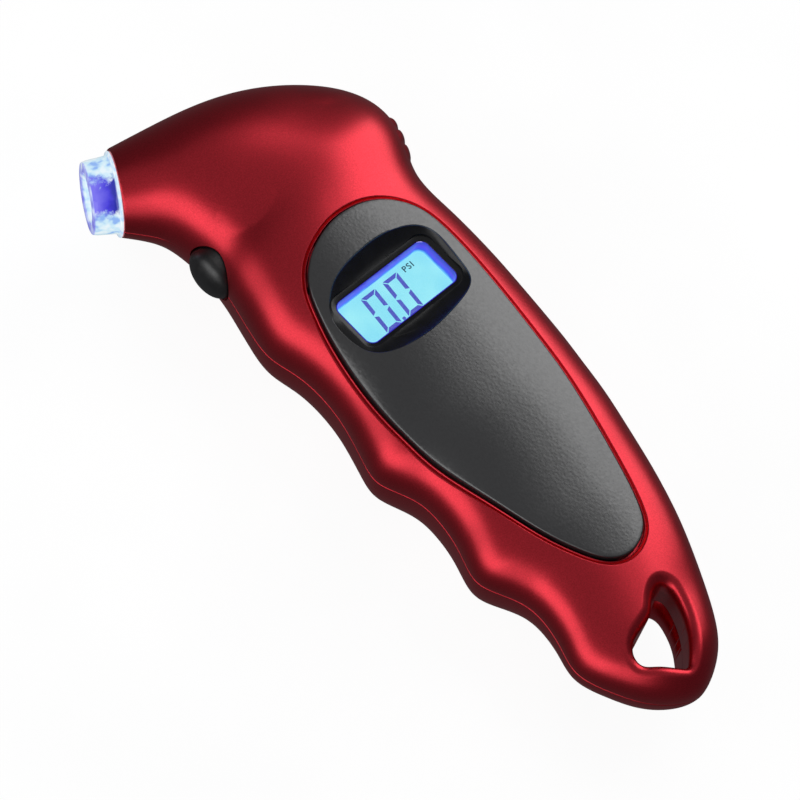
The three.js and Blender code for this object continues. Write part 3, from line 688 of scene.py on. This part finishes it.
RED_PAINT, PLATE_BLACK, SCOOP_BLACK = shell_paint(), plate_plastic(), scoop_plastic()
DARK_PLASTIC = plastic("dark_plastic", (0.012, 0.012, 0.014), (0.022, 0.022, 0.024))
WHITE_PLASTIC = plastic("white_plastic", (0.62, 0.63, 0.65), (0.74, 0.75, 0.77))
DULL_BLACK, WORN_BLACK = (0.007, 0.0075, 0.008), (0.012, 0.0125, 0.013)
BUTTON_RUBBER = plastic("button_rubber", DULL_BLACK, WORN_BLACK, 0.38, 0.5, 0.02, Specular_IOR_Level=0.9)
SEAL_RUBBER = plastic("seal_rubber", (0.012, 0.012, 0.013), (0.02, 0.02, 0.022), 0.75)
CHIP_BLACK = plastic("chip_black", (0.01, 0.01, 0.011), (0.018, 0.018, 0.019), 0.4)
TUBE_SILICONE = plastic("tube_silicone", (0.55, 0.58, 0.6), (0.66, 0.69, 0.71), 0.4)
ZEBRA_RUBBER = plastic("zebra_rubber", (0.42, 0.1, 0.14), (0.52, 0.15, 0.19), 0.7)
STEEL = metal("steel", (0.48, 0.49, 0.5), (0.62, 0.63, 0.64))
BRASS = metal("brass", (0.5, 0.32, 0.1), (0.66, 0.44, 0.16))
BOARD_GREEN = board_resist()
LCD_SCREEN, LCD_WALL_GLOW, LCD_EDGE_GLOW, COVER = lit_screen(), lit_wall(), lit_edge(), clear_cover()
DIGIT_INK = screen_ink("digit_ink", (0.055, 0.07, 0.36), (0.08, 0.1, 0.44))
UNIT_INK = screen_ink("unit_ink", (0.008, 0.03, 0.045), (0.012, 0.045, 0.065))


# ---- shells ----
def outer_half(side):
    """Closed half of the body, with its ridges, the form of its head and a round edge at the seam."""
    rings = [section(u, side, edge=SEAM_ROUND) for u in FINE_ROWS]
    mouth = [(0, 0.14), (0.01, 0.05), (0.035, 0.01)]  # row and how far it is drawn in
    rings[:3] = [section(u, side, d, -d, edge=SEAM_ROUND) for u, d in mouth]
    rings = np.array(rings)
    if side > 0:
        rings[..., 2] += head_twist(rings)
    rings[..., :2] += thumb_ridges(rings)
    return loft(np.vstack([rings, np.broadcast_to([*TIP, side * SEAM], (1, *rings.shape[1:]))]))


def inner_half(side, rows, sunk, past=2):
    """Closed half of the body, sunk under its surface; its walls go on past the parting plane."""
    rings = np.array([section(u, side, sunk, -sunk, 40) for u in rows])
    ends = rings[:, [0, -1]].copy()
    ends[..., 2] = -side * past
    return loft(np.concatenate([ends[:, :1], rings, ends[:, 1:]], 1))


def head_twist(points):
    """Small rise and fall of the head's front where the nozzle's barrel runs into the grip."""
    x, y = points[..., 0] - 5, points[..., 1] - 50.5  # from the middle of the head
    clear = np.clip((y + 17) / 14, 0, 1)  # keeps it off the face plate
    fade = np.exp(-(x**2) / 400 - y**2 / 140) * clear**2 * (3 - 2 * clear)
    return -0.016 * x * (y + 0.34 * x) * fade


def thumb_ridges(points):
    """Sideways lift of three rounded ridges on the outer corner of the head."""
    lift = np.zeros(points.shape[:2])
    x, y, z = points[..., 0], points[..., 1], points[..., 2]
    for i in range(3):
        turn, half_length = math.radians(8 + 6 * i), 8 - abs(i - 1)
        across = -math.sin(turn) * (x - 28 + 0.9 * i) + math.cos(turn) * (y - 44.3 + 3 * i)
        crown = np.sqrt(np.clip(1 - (across / 1.15) ** 2, 0, 1))
        fade = np.clip((half_length - np.abs(z)) / 2, 0, 1)
        lift = np.maximum(lift, 0.6 * crown * np.sqrt(fade * (2 - fade)))
    lift *= x > 18  # only on the outer side
    turn = math.radians(14)
    return lift[..., None] * np.array([math.cos(turn), math.sin(turn)])


# Rows of the fine surface: closer together at both ends and along the thumb ridges.
END_ROWS = ROWS - np.array([0.3, 0.24, 0.18, 0.12, 0.08, 0.045, 0.02, 0.008])
EVEN_ROWS, RIDGE_ROWS = np.arange(0.07, ROWS - 0.3, ROW_STEP), np.arange(5.2, 8.0, ROW_STEP / 3)
FINE_ROWS = np.unique(np.round([0, 0.01, 0.035, *EVEN_ROWS, *RIDGE_ROWS, *END_ROWS], 4))


def rim_cutter(loop, side, profile, reach=0.4):
    """Ring-shaped solid that leaves a rim of this profile round an opening in the body's surface.

    The profile is (distance outwards from the opening, lift over the surface) pairs from the wall out.
    """
    foot, out = profile[0][1], profile[-1][0]
    outline = [(-reach, reach), (-reach, foot), *profile, (out, reach)]
    return loft([on_surface(grown(loop, g), side, h) for g, h in outline], closed=True)


def round_rim(radius, clear=0.1, steps=7):
    """Rim profile that rolls over with this radius and leaves the surface at a slant of 15 degrees."""
    angle = np.radians(np.linspace(0, 75, steps))
    arc = [(radius * (1 - math.cos(a)), -radius * (1 - math.sin(a))) for a in angle]
    return [*arc, (arc[-1][0] + (clear - arc[-1][1]) / math.tan(math.radians(15)), clear)]


# Bead along the plate's gap with a fine groove outside it.
PLATE_RIM = [
    (0.0, -0.55), (0.02, -0.26), (0.08, -0.17), (0.17, -0.14), (0.26, -0.18), (0.31, -0.28),
    (0.36, -0.5), (0.46, -0.56), (0.56, -0.48), (0.63, -0.24), (0.7, -0.11), (0.8, -0.04),
    (0.95, 0.0), (1.4, 0.08),
]
PLATE_LOOP = closed_curve(PLATE, 420, soften=8)
LANYARD_LOOP = closed_curve(LANYARD, 200, soften=6)
SCOOP_LOOP = closed_curve(SCOOP, 260, soften=6)


def scoop_scaled(kx, ky):
    """Scoop outline scaled about the middle of the window."""
    middle = np.array([WINDOW["x"], WINDOW["y"]])
    return middle + (SCOOP_LOOP - middle) * (kx, ky)


def shrunk(loop, scale):
    return loop.mean(0) + (loop - loop.mean(0)) * scale


def plate_recess():
    """Pocket of the face plate; its floor follows the body's surface."""
    loop = grown(PLATE_LOOP, PLATE_GAP)
    floor = [on_surface(shrunk(loop, s), 1, -PLATE_THICK) for s in (0.02, 0.2, 0.4, 0.6, 0.8, 0.95, 1)]
    return loft([*floor, at_height(loop, FAR)])


def nozzle_bores():
    main = [(0, -6.6), (6.2, -6.6), (6.2, 2), (0, 2)]
    groove = [(0, -3.5), (7.1, -3.5), (7.1, -1.7), (0, -1.7)]
    return [turned(p, NOZZLE_AT, NOZZLE_OUT, 96) for p in (main, groove)]


def on_button(profile, sides=96):
    """Solid turned about the button's line of travel."""
    return turned(profile, (0, BUTTON_Y, 0), (1, 0, 0), sides)


def button_bore():
    return on_button([(0, -30), (BUTTON_BORE, -30), (BUTTON_BORE, -16.8), (0, -16.8)])


def lanyard_cutters(side):
    hole = prism(LANYARD_LOOP, *sorted((-3 * side, FAR * side)))
    return [hole, rim_cutter(LANYARD_LOOP, side, round_rim(LANYARD_ROUND, 0.25, 12), 1.0)]


def shell_blank(side, node):
    """Fine outer wall of a shell with the CAD shell's bosses and ribs inside it, and its uncut skin."""
    outer = outer_half(side)
    skin = Skin(outer)
    hollow = inner_half(side, np.arange(0.4, 22.01, 0.4), 1.3)
    cut(hollow, prism(grown(LANYARD_LOOP, LANYARD_WALL), -FAR, FAR))
    inside = inner_half(side, np.arange(0.3, 22.4, 0.4), 0.7)
    bosses = combine(copy_of(node), ("INTERSECT", inside))
    cut(bosses, prism(grown(LANYARD_LOOP, LANYARD_WALL / 2), -FAR, FAR))
    return combine(outer, ("DIFFERENCE", hollow), ("UNION", bosses)), skin


def window_box(half_x, half_y, z0, z1):
    """Box round the middle of the window."""
    x, y = WINDOW["x"], WINDOW["y"]
    return box(x - half_x, x + half_x, y - half_y, y + half_y, z0, z1)


def front_shell():
    shell, skin = shell_blank(1, "front_shell")
    plate = [plate_recess(), rim_cutter(grown(PLATE_LOOP, PLATE_GAP), 1, PLATE_RIM)]
    display_room = [prism(scoop_scaled(1.05, 0.91), 5, 20), window_box(13.5, 7.9, 3, 11)]
    cut(shell, *plate, *display_room, *nozzle_bores(), button_bore(), *lanyard_cutters(1))
    piece("Front_half", shell, RED_PAINT, "front_shell", skin=skin)


def screw_well(x, y, seat, well=2.7, hole=1.5):
    """Cutters for a screw's well with a round rim, and for the hole under its head."""
    a = np.linspace(0, 2 * np.pi, 64, endpoint=False)
    circle = (x, y) + well * np.stack([np.cos(a), np.sin(a)], 1)
    rim = rim_cutter(circle, -1, round_rim(0.35))
    return [post(x, y, -20, seat, well, 64), post(x, y, -20, 1, hole), rim]


def rear_shell():
    shell, skin = shell_blank(-1, "rear_shell")
    d, end = DOOR, DOOR["y1"] + DOOR_GAP
    wide, long = d["x1"] - d["x0"] + 2 * DOOR_GAP, end - DOOR_RUN
    pocket = round_rect((d["x0"] + d["x1"]) / 2, (end + DOOR_RUN) / 2, wide, long, 0.9)
    rails = box(d["x0"] - 1.2, d["x1"] + 1.2, DOOR_RUN, end, -13.5, -12.1)
    battery_room = box(-13.5, 7.1, -41.6, -7.8, -13, -10)
    wells = [cutter for screw in SCREWS for cutter in screw_well(*screw)]
    cut(shell, prism(pocket, -20, -12.1), rails, battery_room)
    cut(shell, *nozzle_bores(), button_bore(), *lanyard_cutters(-1), *wells)
    piece("Rear_half", shell, RED_PAINT, "rear_shell", skin=skin)


# ---- face plate and display ----
def face_plate():
    """Domed plate with a rounded rim, a scoop round its window and a small round on its edge."""
    loop, rim = PLATE_LOOP, 0.32
    under = [on_surface(shrunk(loop, s), 1, -1.05) for s in (0.02, 0.25, 0.5, 0.75, 0.95, 1)]
    edge = [on_surface(loop, 1, lift) for lift in (-0.3, 0.1, 0.3)]
    for a in np.radians(np.linspace(0, 82, 7)):
        lift = PLATE_CROWN - rim * (1 - math.sin(a))
        edge.append(on_surface(grown(loop, -rim * (1 - math.cos(a))), 1, lift))
    crown = grown(loop, -rim)
    top = [on_surface(shrunk(crown, s), 1, PLATE_CROWN) for s in np.linspace(0.985, 0.02, 72)]
    plate = loft([*under, *edge, *top])
    skin = Skin(plate)
    foot, brim = at_height(scoop_scaled(1.01, 0.86), DECK - 0.9), scoop_scaled(1.01, 0.95)
    tub = loft([foot, on_surface(brim, 1, -0.5)])
    cut(join(plate, tub), scoop_cutter(), window_cutter())
    made = piece("Face_plate", plate, [PLATE_BLACK, SCOOP_BLACK], skin=skin)
    paint_scoop(made.data)


def scoop_cutter(steps=14, rounding=0.25):
    top = surface_height(SCOOP_LOOP, 1) + PLATE_CROWN
    deck = scoop_scaled(0.9, 0.62)
    rings = [at_height(deck, DECK)]
    for w in np.linspace(1 / steps, 1, steps):
        rings.append(at_height(deck + (SCOOP_LOOP - deck) * w, DECK + (top - rounding - DECK) * w**1.7))
    for grow, drop in [(0.05, 0.1), (0.17, 0.02), (0.8, -0.08)]:
        rings.append(at_height(grown(SCOOP_LOOP, grow), top - drop))
    return loft([*rings, at_height(grown(SCOOP_LOOP, 0.8), FAR)])


def window_loop(grow=0.0):
    w = WINDOW
    return round_rect(w["x"], w["y"], w["w"] + 2 * grow, w["h"] + 2 * grow, w["r"] + grow)


def window_cutter():
    levels = [(0, 5), (0, DECK - 0.4), (0.04, DECK - 0.31), (0.12, DECK - 0.26), (0.75, DECK - 0.04)]
    levels += [(0.9, DECK + 0.01), (1.1, DECK + 0.03), (1.1, 20)]
    return loft([at_height(window_loop(g), z) for g, z in levels])


def middles(mesh):
    """Middles of a finished piece's faces, back in the part's millimetres."""
    return values(mesh.polygons, "center", width=3).astype(float) / MM - ORIGIN


def paint(mesh, index):
    """Gives each face the material of this index."""
    for polygon, i in zip(mesh.polygons, index):
        polygon.material_index = int(i)


def paint_scoop(mesh):
    """Second material on the faces inside the scoop's outline and under the plate's crown."""
    x, y, z = middles(mesh).T
    inside = np.zeros(len(x), bool)
    for (ax, ay), (bx, by) in zip(SCOOP_LOOP, np.roll(SCOOP_LOOP, -1, 0)):
        level = (ay > y) != (by > y)
        inside ^= level & (x < ax + (y - ay) / (by - ay if by != ay else 1) * (bx - ax))
    crown = surface_height(np.column_stack([x, y]), 1) + PLATE_CROWN
    paint(mesh, inside & (z < crown - 0.12))


def display():
    """Frame with a well painted with the backlight's glow, screen with its marks, and clear cover."""
    x, y = WINDOW["x"], WINDOW["y"]
    holder = cut(window_box(13.1, 7.5, 3.5, 10.2), window_box(12.3, 6.7, 3, 9.9))
    neck = prism(round_rect(x, y, 24.2, 12.2, 1.5), 10, 11)
    well = prism(window_loop(0.4), SCREEN + 0.05, 10.1)
    lip = prism(window_loop(-0.02), 10.9, DECK - 0.34)
    join(holder, neck, well, lip)
    cut(holder, prism(window_loop(-0.02 - WELL_WALL), 5, 20))
    materials = [WHITE_PLASTIC, LCD_WALL_GLOW, LCD_EDGE_GLOW]
    made = piece("Display_frame", holder, materials, "lcd_frame")
    paint_well(made.data)
    glass = prism(round_rect(x, y, 24, 12.8, 0.4), 6.9, SCREEN)
    piece("Display_screen", glass, LCD_SCREEN, "lcd_glass")
    cover = prism(window_loop(-0.35), 9.0, 9.6)
    piece("Display_cover", cover, COVER, "display_window")
    for i, left in enumerate((-6.1, -0.5)):
        digit(f"Digit_{i + 1}", left, 10.65)
    dot = prism(round_rect(-1.5, 11.05, 0.7, 0.6, 0.25, 4, 2), SCREEN + 0.01, SCREEN + MARK)
    piece("Digit_point", dot, DIGIT_INK)
    unit_mark("PSI", 5.25, 18.0, 1.8)


def paint_well(mesh):
    """Gives the display's well the material with the painted backlight glow and its upper rim the one
    with a brighter painted glow.
    """
    x, y, z = middles(mesh).T
    x, y = np.abs(x - WINDOW["x"]), y - WINDOW["y"]
    well = (x < WINDOW["w"] / 2 + 0.1) & (np.abs(y) < WINDOW["h"] / 2 + 0.1) & (z > SCREEN)
    rim = well & (z > DECK - 0.4) & (y > 4)
    paint(mesh, well.astype(int) + rim)


def digit(name, left, foot, width=3.75, height=8.5, bar=0.8, gap=0.14, slant=0.1):
    """Seven-segment nought, leaning a little to the right."""
    w, h, t, g = width, height, bar, gap
    top = [(g, h), (t + g, h - t), (w - t - g, h - t), (w - g, h)]
    side = [(0, h - g), (0, h / 2 + g), (t, h / 2 + g + t / 2), (t, h - t - g)]
    bars = [top, side]
    bars += [[(w - x, y) for x, y in side], [(x, h - y) for x, y in top]]
    bars += [[(x, h - y) for x, y in side], [(w - x, h - y) for x, y in side]]
    made = []
    for corners in bars:
        flat = np.array([(left + x + slant * y, foot + y) for x, y in corners])
        made.append(prism(flat, SCREEN + 0.01, SCREEN + MARK))
    piece(name, join(made[0], *made[1:]), DIGIT_INK)


def unit_mark(text, x, y, size):
    """Unit beside the digits, as a flat mesh."""
    curve = bpy.data.curves.new("temporary", "FONT")
    curve.body, curve.size, curve.extrude = text, size, 0.02
    curve.space_character, curve.offset = 1.2, 0.02
    source = in_scene("temporary", curve)
    mesh = evaluated_mesh(source)
    bpy.data.objects.remove(source)
    mesh.transform(Matrix.Translation((x, y, SCREEN + 0.03)))
    piece("Unit_mark", in_scene("temporary", mesh), UNIT_INK)


# ---- nozzle ----
def on_nozzle(name, profile, material, radius=0.3, closed=False, sides=96):
    solid = turned(rounded(profile, radius, closed=closed), NOZZLE_AT, NOZZLE_OUT, sides)
    piece(name, solid, material)


def nozzle():
    tip = [
        (2.4, -6.4), (5.9, -6.4), (5.9, -3.2), (6.8, -3.2), (6.8, -2.0), (5.9, -2.0),
        (5.9, 0.45), (8.4, 0.45), (8.4, 0.8), (7.8, 1.0), (7.55, 1.4), (7.25, 4.9), (7.0, 5.9),
        (5.2, 6.0), (4.3, 5.4), (4.2, -5.0), (2.4, -5.0),
    ]
    on_nozzle("Nozzle_tip", tip, NOZZLE_CLEAR, 0.22, True, 128)
    seal = [(1.8, -4.7), (3.9, -4.7), (3.9, -3.6), (2.6, -3.1), (1.8, -3.6)]
    on_nozzle("Valve_seal", seal, SEAL_RUBBER, 0.2, True)
    pin = [(0, -9), (0.7, -9), (0.7, -2.6), (0.4, -2.2), (0, -2.2)]
    on_nozzle("Depressor_pin", pin, BRASS, 0.15)
    core = [
        (1.0, -14.4), (1.4, -14.4), (1.4, -11.1), (3.4, -11.1), (3.4, -10.2), (2.7, -10.2),
        (2.7, -8.2), (3.4, -8.2), (3.4, -6.7), (1.0, -6.7),
    ]
    on_nozzle("Nozzle_core", core, BRASS, 0.15, True)
    lamp = turned(
        rounded([(0, -10.4), (1.5, -10.4), (1.5, -8.0), (1.1, -7.1), (0, -6.8)], 0.3),
        (NOZZLE_AT[0], NOZZLE_AT[1], 5.2), NOZZLE_OUT, 48,
    )
    piece("Nozzle_lamp", lamp, LAMP_BLUE)


# ---- button ----
def button():
    angles = np.radians(np.linspace(0, 90, 22))
    dome = [(5.4 * math.cos(a), -19.9 - 2.9 * math.sin(a)) for a in angles]
    skirt = [(0, -13.9), (1.8, -13.9), (1.8, -15.5), (6.8, -15.5), (6.8, -16.5), (5.45, -16.5)]
    profile = rounded(skirt, 0.2) + [(r if r > 1e-6 else 0, s) for r, s in dome]
    piece("Power_button", on_button(profile), BUTTON_RUBBER, body="button")
    stem = on_button(rounded([(0, -13.6), (1.5, -13.6), (1.5, -11.2), (0, -11.2)], 0.2), 48)
    piece("Switch_plunger", stem, WHITE_PLASTIC, body="button")


# ---- battery door, cells and screws ----
def battery_door():
    x0, x1, y0, y1, outer, inner = DOOR.values()
    loop = round_rect((x0 + x1) / 2, (y0 + y1) / 2, x1 - x0, y1 - y0, 0.8)
    sunk = REST - outer
    rings = [at_height(loop, -inner)]
    for grow, drop in [(0, 0.3), (-0.05, 0.15), (-0.15, 0.05), (-0.3, 0)]:
        rings.append(on_surface(grown(loop, grow), -1, -sunk - drop))
    crown = grown(loop, -0.3)
    rings += [on_surface(shrunk(crown, s), -1, -sunk) for s in np.linspace(0.97, 0.02, 24)]
    door = loft(rings)
    skin = Skin(door)
    parts = []
    for i in range(5):
        bar = round_rect(-3.2, -31.95 - 2 * i, 10, 0.9, 0.44, 6, 8)
        levels = [(0, -0.6), (0, -0.3), (-0.06, -0.2), (-0.2, -0.15)]
        crest = [on_surface(grown(bar, g), -1, h) for g, h in levels]
        parts.append(loft([at_height(bar, -13.2), *crest]))
    for rail in ((x0 - 0.9, x0 + 1), (x1 - 1, x1 + 0.9)):
        parts.append(box(*rail, -36, y1 - 0.6, -13.2, -inner))
    join(door, *parts)
    piece("Battery_door", door, RED_PAINT, body="door", skin=skin)


def cells():
    x, y, r = -3.2, -18.2, 10.0
    can = [(0, -10.4), (r - 1.2, -10.4), (r - 1.2, -9.9), (r, -9.6), (r, -7.2), (0, -7.2)]
    solid = turned(rounded(can, 0.25), (x, y, 0), (0, 0, 1), 96)
    piece("Coin_cell", solid, STEEL)
    for i in range(3):
        low = -11.4 + 5.4 * i + 0.15
        can = [(0, 0), (5.8, 0), (5.8, 4.2), (5.0, 4.5), (5.0, 5.1), (0, 5.1)]
        solid = turned(rounded(can, 0.3), (low, -35.5, -6.5), (1, 0, 0), 72)
        piece(f"Button_cell_{i + 1}", solid, STEEL)


def shell_screws():
    for i, (x, y, seat) in enumerate(SCREWS):
        z = seat - 0.3
        head = [(0, z - 1.7), (1.5, z - 1.65), (2.1, z - 1.2), (2.3, z - 0.6), (2.3, z)]
        shape = rounded([*head, (1.2, z), (1.2, 6.2), (0, 7)], 0.2)
        slots = []
        for turn in (0.4 + i, 0.4 + i + math.pi / 2):
            c, s = math.cos(turn), math.sin(turn)
            flat = [(-1.2, -0.26), (1.2, -0.26), (1.2, 0.26), (-1.2, 0.26)] @ np.array([(c, s), (-s, c)])
            mouth, foot = at_height(flat + [x, y], z - 2.2), at_height(flat * 0.55 + [x, y], z - 0.7)
            slots.append(loft([mouth, foot]))
        screw = cut(turned(shape, (x, y, 0), (0, 0, 1), 48), *slots)
        piece(f"Body_screw_{i + 1}", screw, STEEL, f"shell_screw_{i + 1}")


# ---- carried-over nodes ----
def clear_nozzle():
    """Clear plastic with painted light: a painted blue glow of the lamp inside in a band turned to the
    front, painted pale reflections at its sides, a painted highlight on its ring and a painted glow with
    highlights on its front face.
    """
    m = Material("clear_nozzle", (0.02, 0.03, 0.1), 0.1, IOR=1.49, Coat_Weight=0.5)
    start = [(a + b) * MM for a, b in zip(NOZZLE_AT, ORIGIN)]
    away = m.node("ShaderNodeVectorMath", {0: m.place, 1: start}, operation="SUBTRACT").outputs["Vector"]
    axis, top = Vector(NOZZLE_OUT).normalized(), Vector((0, 0, 1))

    def along(direction):
        given = {0: away, 1: direction / MM}
        return m.node("ShaderNodeVectorMath", given, operation="DOT_PRODUCT").outputs["Value"]

    out, across, up = along(axis), along(top.cross(axis)), along(top)
    turn = m.maths("MULTIPLY_ADD", m.maths("ARCTAN2", across, up), 1 / math.pi, 0.5)
    broken = m.maths("MULTIPLY_ADD", m.noise(1.6, 3.0, 0.7), 0.3, -0.15)
    sheen_mottle = m.noise(2.4, 2.0)
    # Painted pale reflections on the barrel's sides, mottled by noise.
    side_sheen = [(0.36, (0.3, 0.5, 0.92)), (0.48, (0.62, 0.86, 0.98)), (0.62, (0.86, 0.97, 1))]
    reach = m.maths("MULTIPLY_ADD", out, 1 / 6, m.maths("MULTIPLY_ADD", m.noise(2.0), 0.4, -0.2))
    # Painted blue glow of the lamp inside, deeper near the shell and brighter towards the mouth.
    band = [(0.25, (0.02, 0.02, 0.36)), (0.45, (0.06, 0.04, 0.7)), (0.85, (0.2, 0.17, 0.88))]
    share = m.ramp(m.maths("ADD", turn, broken), [(0.48, 0), (0.56, 1), (0.78, 1), (0.86, 0)])
    # Front face: painted lavender glow with painted white highlights.
    front = [(0.36, (0.22, 0.22, 0.8)), (0.52, (0.42, 0.47, 0.95)), (0.68, (0.75, 0.85, 1))]
    # Painted pale highlight on the ring by the shell.
    ring = m.ramp(m.noise(1.4), [(0.3, (0.4, 0.7, 1)), (0.6, (0.88, 0.97, 1))])
    barrel = m.mix(share, m.ramp(sheen_mottle, side_sheen), m.ramp(reach, band))
    glow = m.mix(m.cut_in(out, 1.15, 0.95), barrel, ring)
    glow = m.mix(m.cut_in(out, 5.6, 5.8), glow, m.ramp(sheen_mottle, front))
    m.link(glow, m.shader.inputs["Emission Color"])
    m.shader.inputs["Emission Strength"].default_value = 0.95
    m.roughness(m.noise(1.0), 0.06, 0.14)
    return m.made


def lamp_lens():
    m = Material("lamp_lens", (0.5, 0.6, 1.0), 0.1)
    m.glow(m.noise(1.0), [(0.3, (0.15, 0.2, 1.0)), (0.7, (0.4, 0.5, 1.0))], 6.0)
    return m.made


NOZZLE_CLEAR, LAMP_BLUE = clear_nozzle(), lamp_lens()


def carried_over():
    """The CAD nodes whose shape is right get their materials and softened edges."""
    finish = [
        (WHITE_PLASTIC, ["backlight_panel"]),
        (ZEBRA_RUBBER, ["zebra_connector"]),
        (BOARD_GREEN, ["circuit_board", "switch_board"]),
        (CHIP_BLACK, ["controller_chip", "pressure_sensor", "tact_switch"]),
        (TUBE_SILICONE, ["air_tube"]),
        (DARK_PLASTIC, ["battery_tray"]),
        (STEEL, ["coin_contact", "stack_contact_plus", "stack_contact_minus"]),
        (STEEL, ["board_screw_1", "board_screw_2"]),
    ]
    for node, material in [(node, material) for material, nodes in finish for node in nodes]:
        shown = frame["nodes"][node]
        shown.data.materials.clear()
        shown.data.materials.append(material)
        bevel = shown.modifiers.new("soft_edges", "BEVEL")
        bevel.width, bevel.segments = 0.1 * MM, 2
        bevel.limit_method, bevel.angle_limit = "ANGLE", math.radians(50)


# ---- stage ----
TARGET = Vector((-0.00928, 0.00161, 0.0146))
VIEW_FROM = Vector((-0.38382, -0.24247, 0.89101))
VIEW_UP = Vector((0.57361, 0.69355, 0.43583))
VIEW_DISTANCE = 0.6012


def camera():
    data = bpy.data.cameras.new("Camera")
    data.lens, data.sensor_width = 144, 36
    made = in_scene("Camera", data)
    right = VIEW_UP.cross(VIEW_FROM)
    axes = Matrix((right, VIEW_UP, VIEW_FROM)).transposed().to_4x4()
    made.matrix_world = Matrix.Translation(TARGET + VIEW_FROM * VIEW_DISTANCE) @ axes
    bpy.context.scene.camera = made


def softbox(name, azimuth, elevation, width, height, radiance):
    """Area light at a distance that faces the gauge; angles in degrees, sizes in metres."""
    data = bpy.data.lights.new(name, "AREA")
    data.shape, data.size, data.size_y = "RECTANGLE", width, height
    data.energy = 4 * width * height * radiance
    made = in_scene(name, data)
    a, e = math.radians(azimuth), math.radians(elevation)
    way = Vector((math.cos(e) * math.cos(a), math.cos(e) * math.sin(a), math.sin(e)))
    made.location = TARGET + way * 1.2
    made.rotation_mode = "QUATERNION"
    made.rotation_quaternion = way.to_track_quat("Z", "Y")


def floor():
    """White paper, seen only by the camera, so that its light doesn't fill the dark edges."""
    mesh = bpy.data.meshes.new("Floor")
    turns = np.linspace(0, 2 * math.pi, 96, endpoint=False)
    mesh.from_pydata([(6 * math.cos(a), 6 * math.sin(a), 0) for a in turns], [], [list(range(96))])
    made = in_scene("Floor", mesh)
    m = Material("floor_paper", (0.12, 0.12, 0.12), 0.9, Specular_IOR_Level=0.0)
    m.glow(m.noise(60.0), [(0.3, (0.93, 0.93, 0.93)), (0.7, (0.95, 0.95, 0.95))])
    below = m.node("ShaderNodeNewGeometry").outputs["Backfacing"]
    clear = m.node("ShaderNodeBsdfTransparent").outputs["BSDF"]
    mix = m.node("ShaderNodeMixShader", {0: below, 1: m.shader.outputs["BSDF"], 2: clear})
    m.link(mix.outputs["Shader"], m.tree.nodes["Material Output"].inputs["Surface"])
    mesh.materials.append(m.made)
    made.visible_glossy = made.visible_diffuse = made.visible_transmission = False


def world():
    """Dark room round the gauge; white where the camera looks past the floor."""
    made = bpy.data.worlds.new("World")
    bpy.context.scene.world = made
    made.use_nodes = True
    tree = made.node_tree
    white = tree.nodes["Background"]
    white.inputs["Color"].default_value = (0.9, 0.9, 0.9, 1)
    dark = add_node(tree, "ShaderNodeBackground", {"Color": (0.08, 0.08, 0.085, 1)})
    seen = add_node(tree, "ShaderNodeLightPath").outputs["Is Camera Ray"]
    mix = add_node(tree, "ShaderNodeMixShader", {0: seen, 1: dark.outputs[0], 2: white.outputs[0]})
    tree.links.new(mix.outputs["Shader"], tree.nodes["World Output"].inputs["Surface"])


def stage():
    floor()
    world()
    softbox("Left_softbox", 171, 20, 1.28, 0.78, 1.2)
    softbox("Right_softbox", 8, 34, 0.78, 1.25, 1.5)
    softbox("Front_softbox", 208, 22, 0.51, 0.97, 0.6)
    softbox("Top_softbox", 90, 89, 1.94, 1.94, 0.14)
    bpy.context.scene.view_settings.view_transform = "Standard"


camera()
stage()
front_shell()
rear_shell()
face_plate()
display()
nozzle()
button()
battery_door()
cells()
shell_screws()
carried_over()
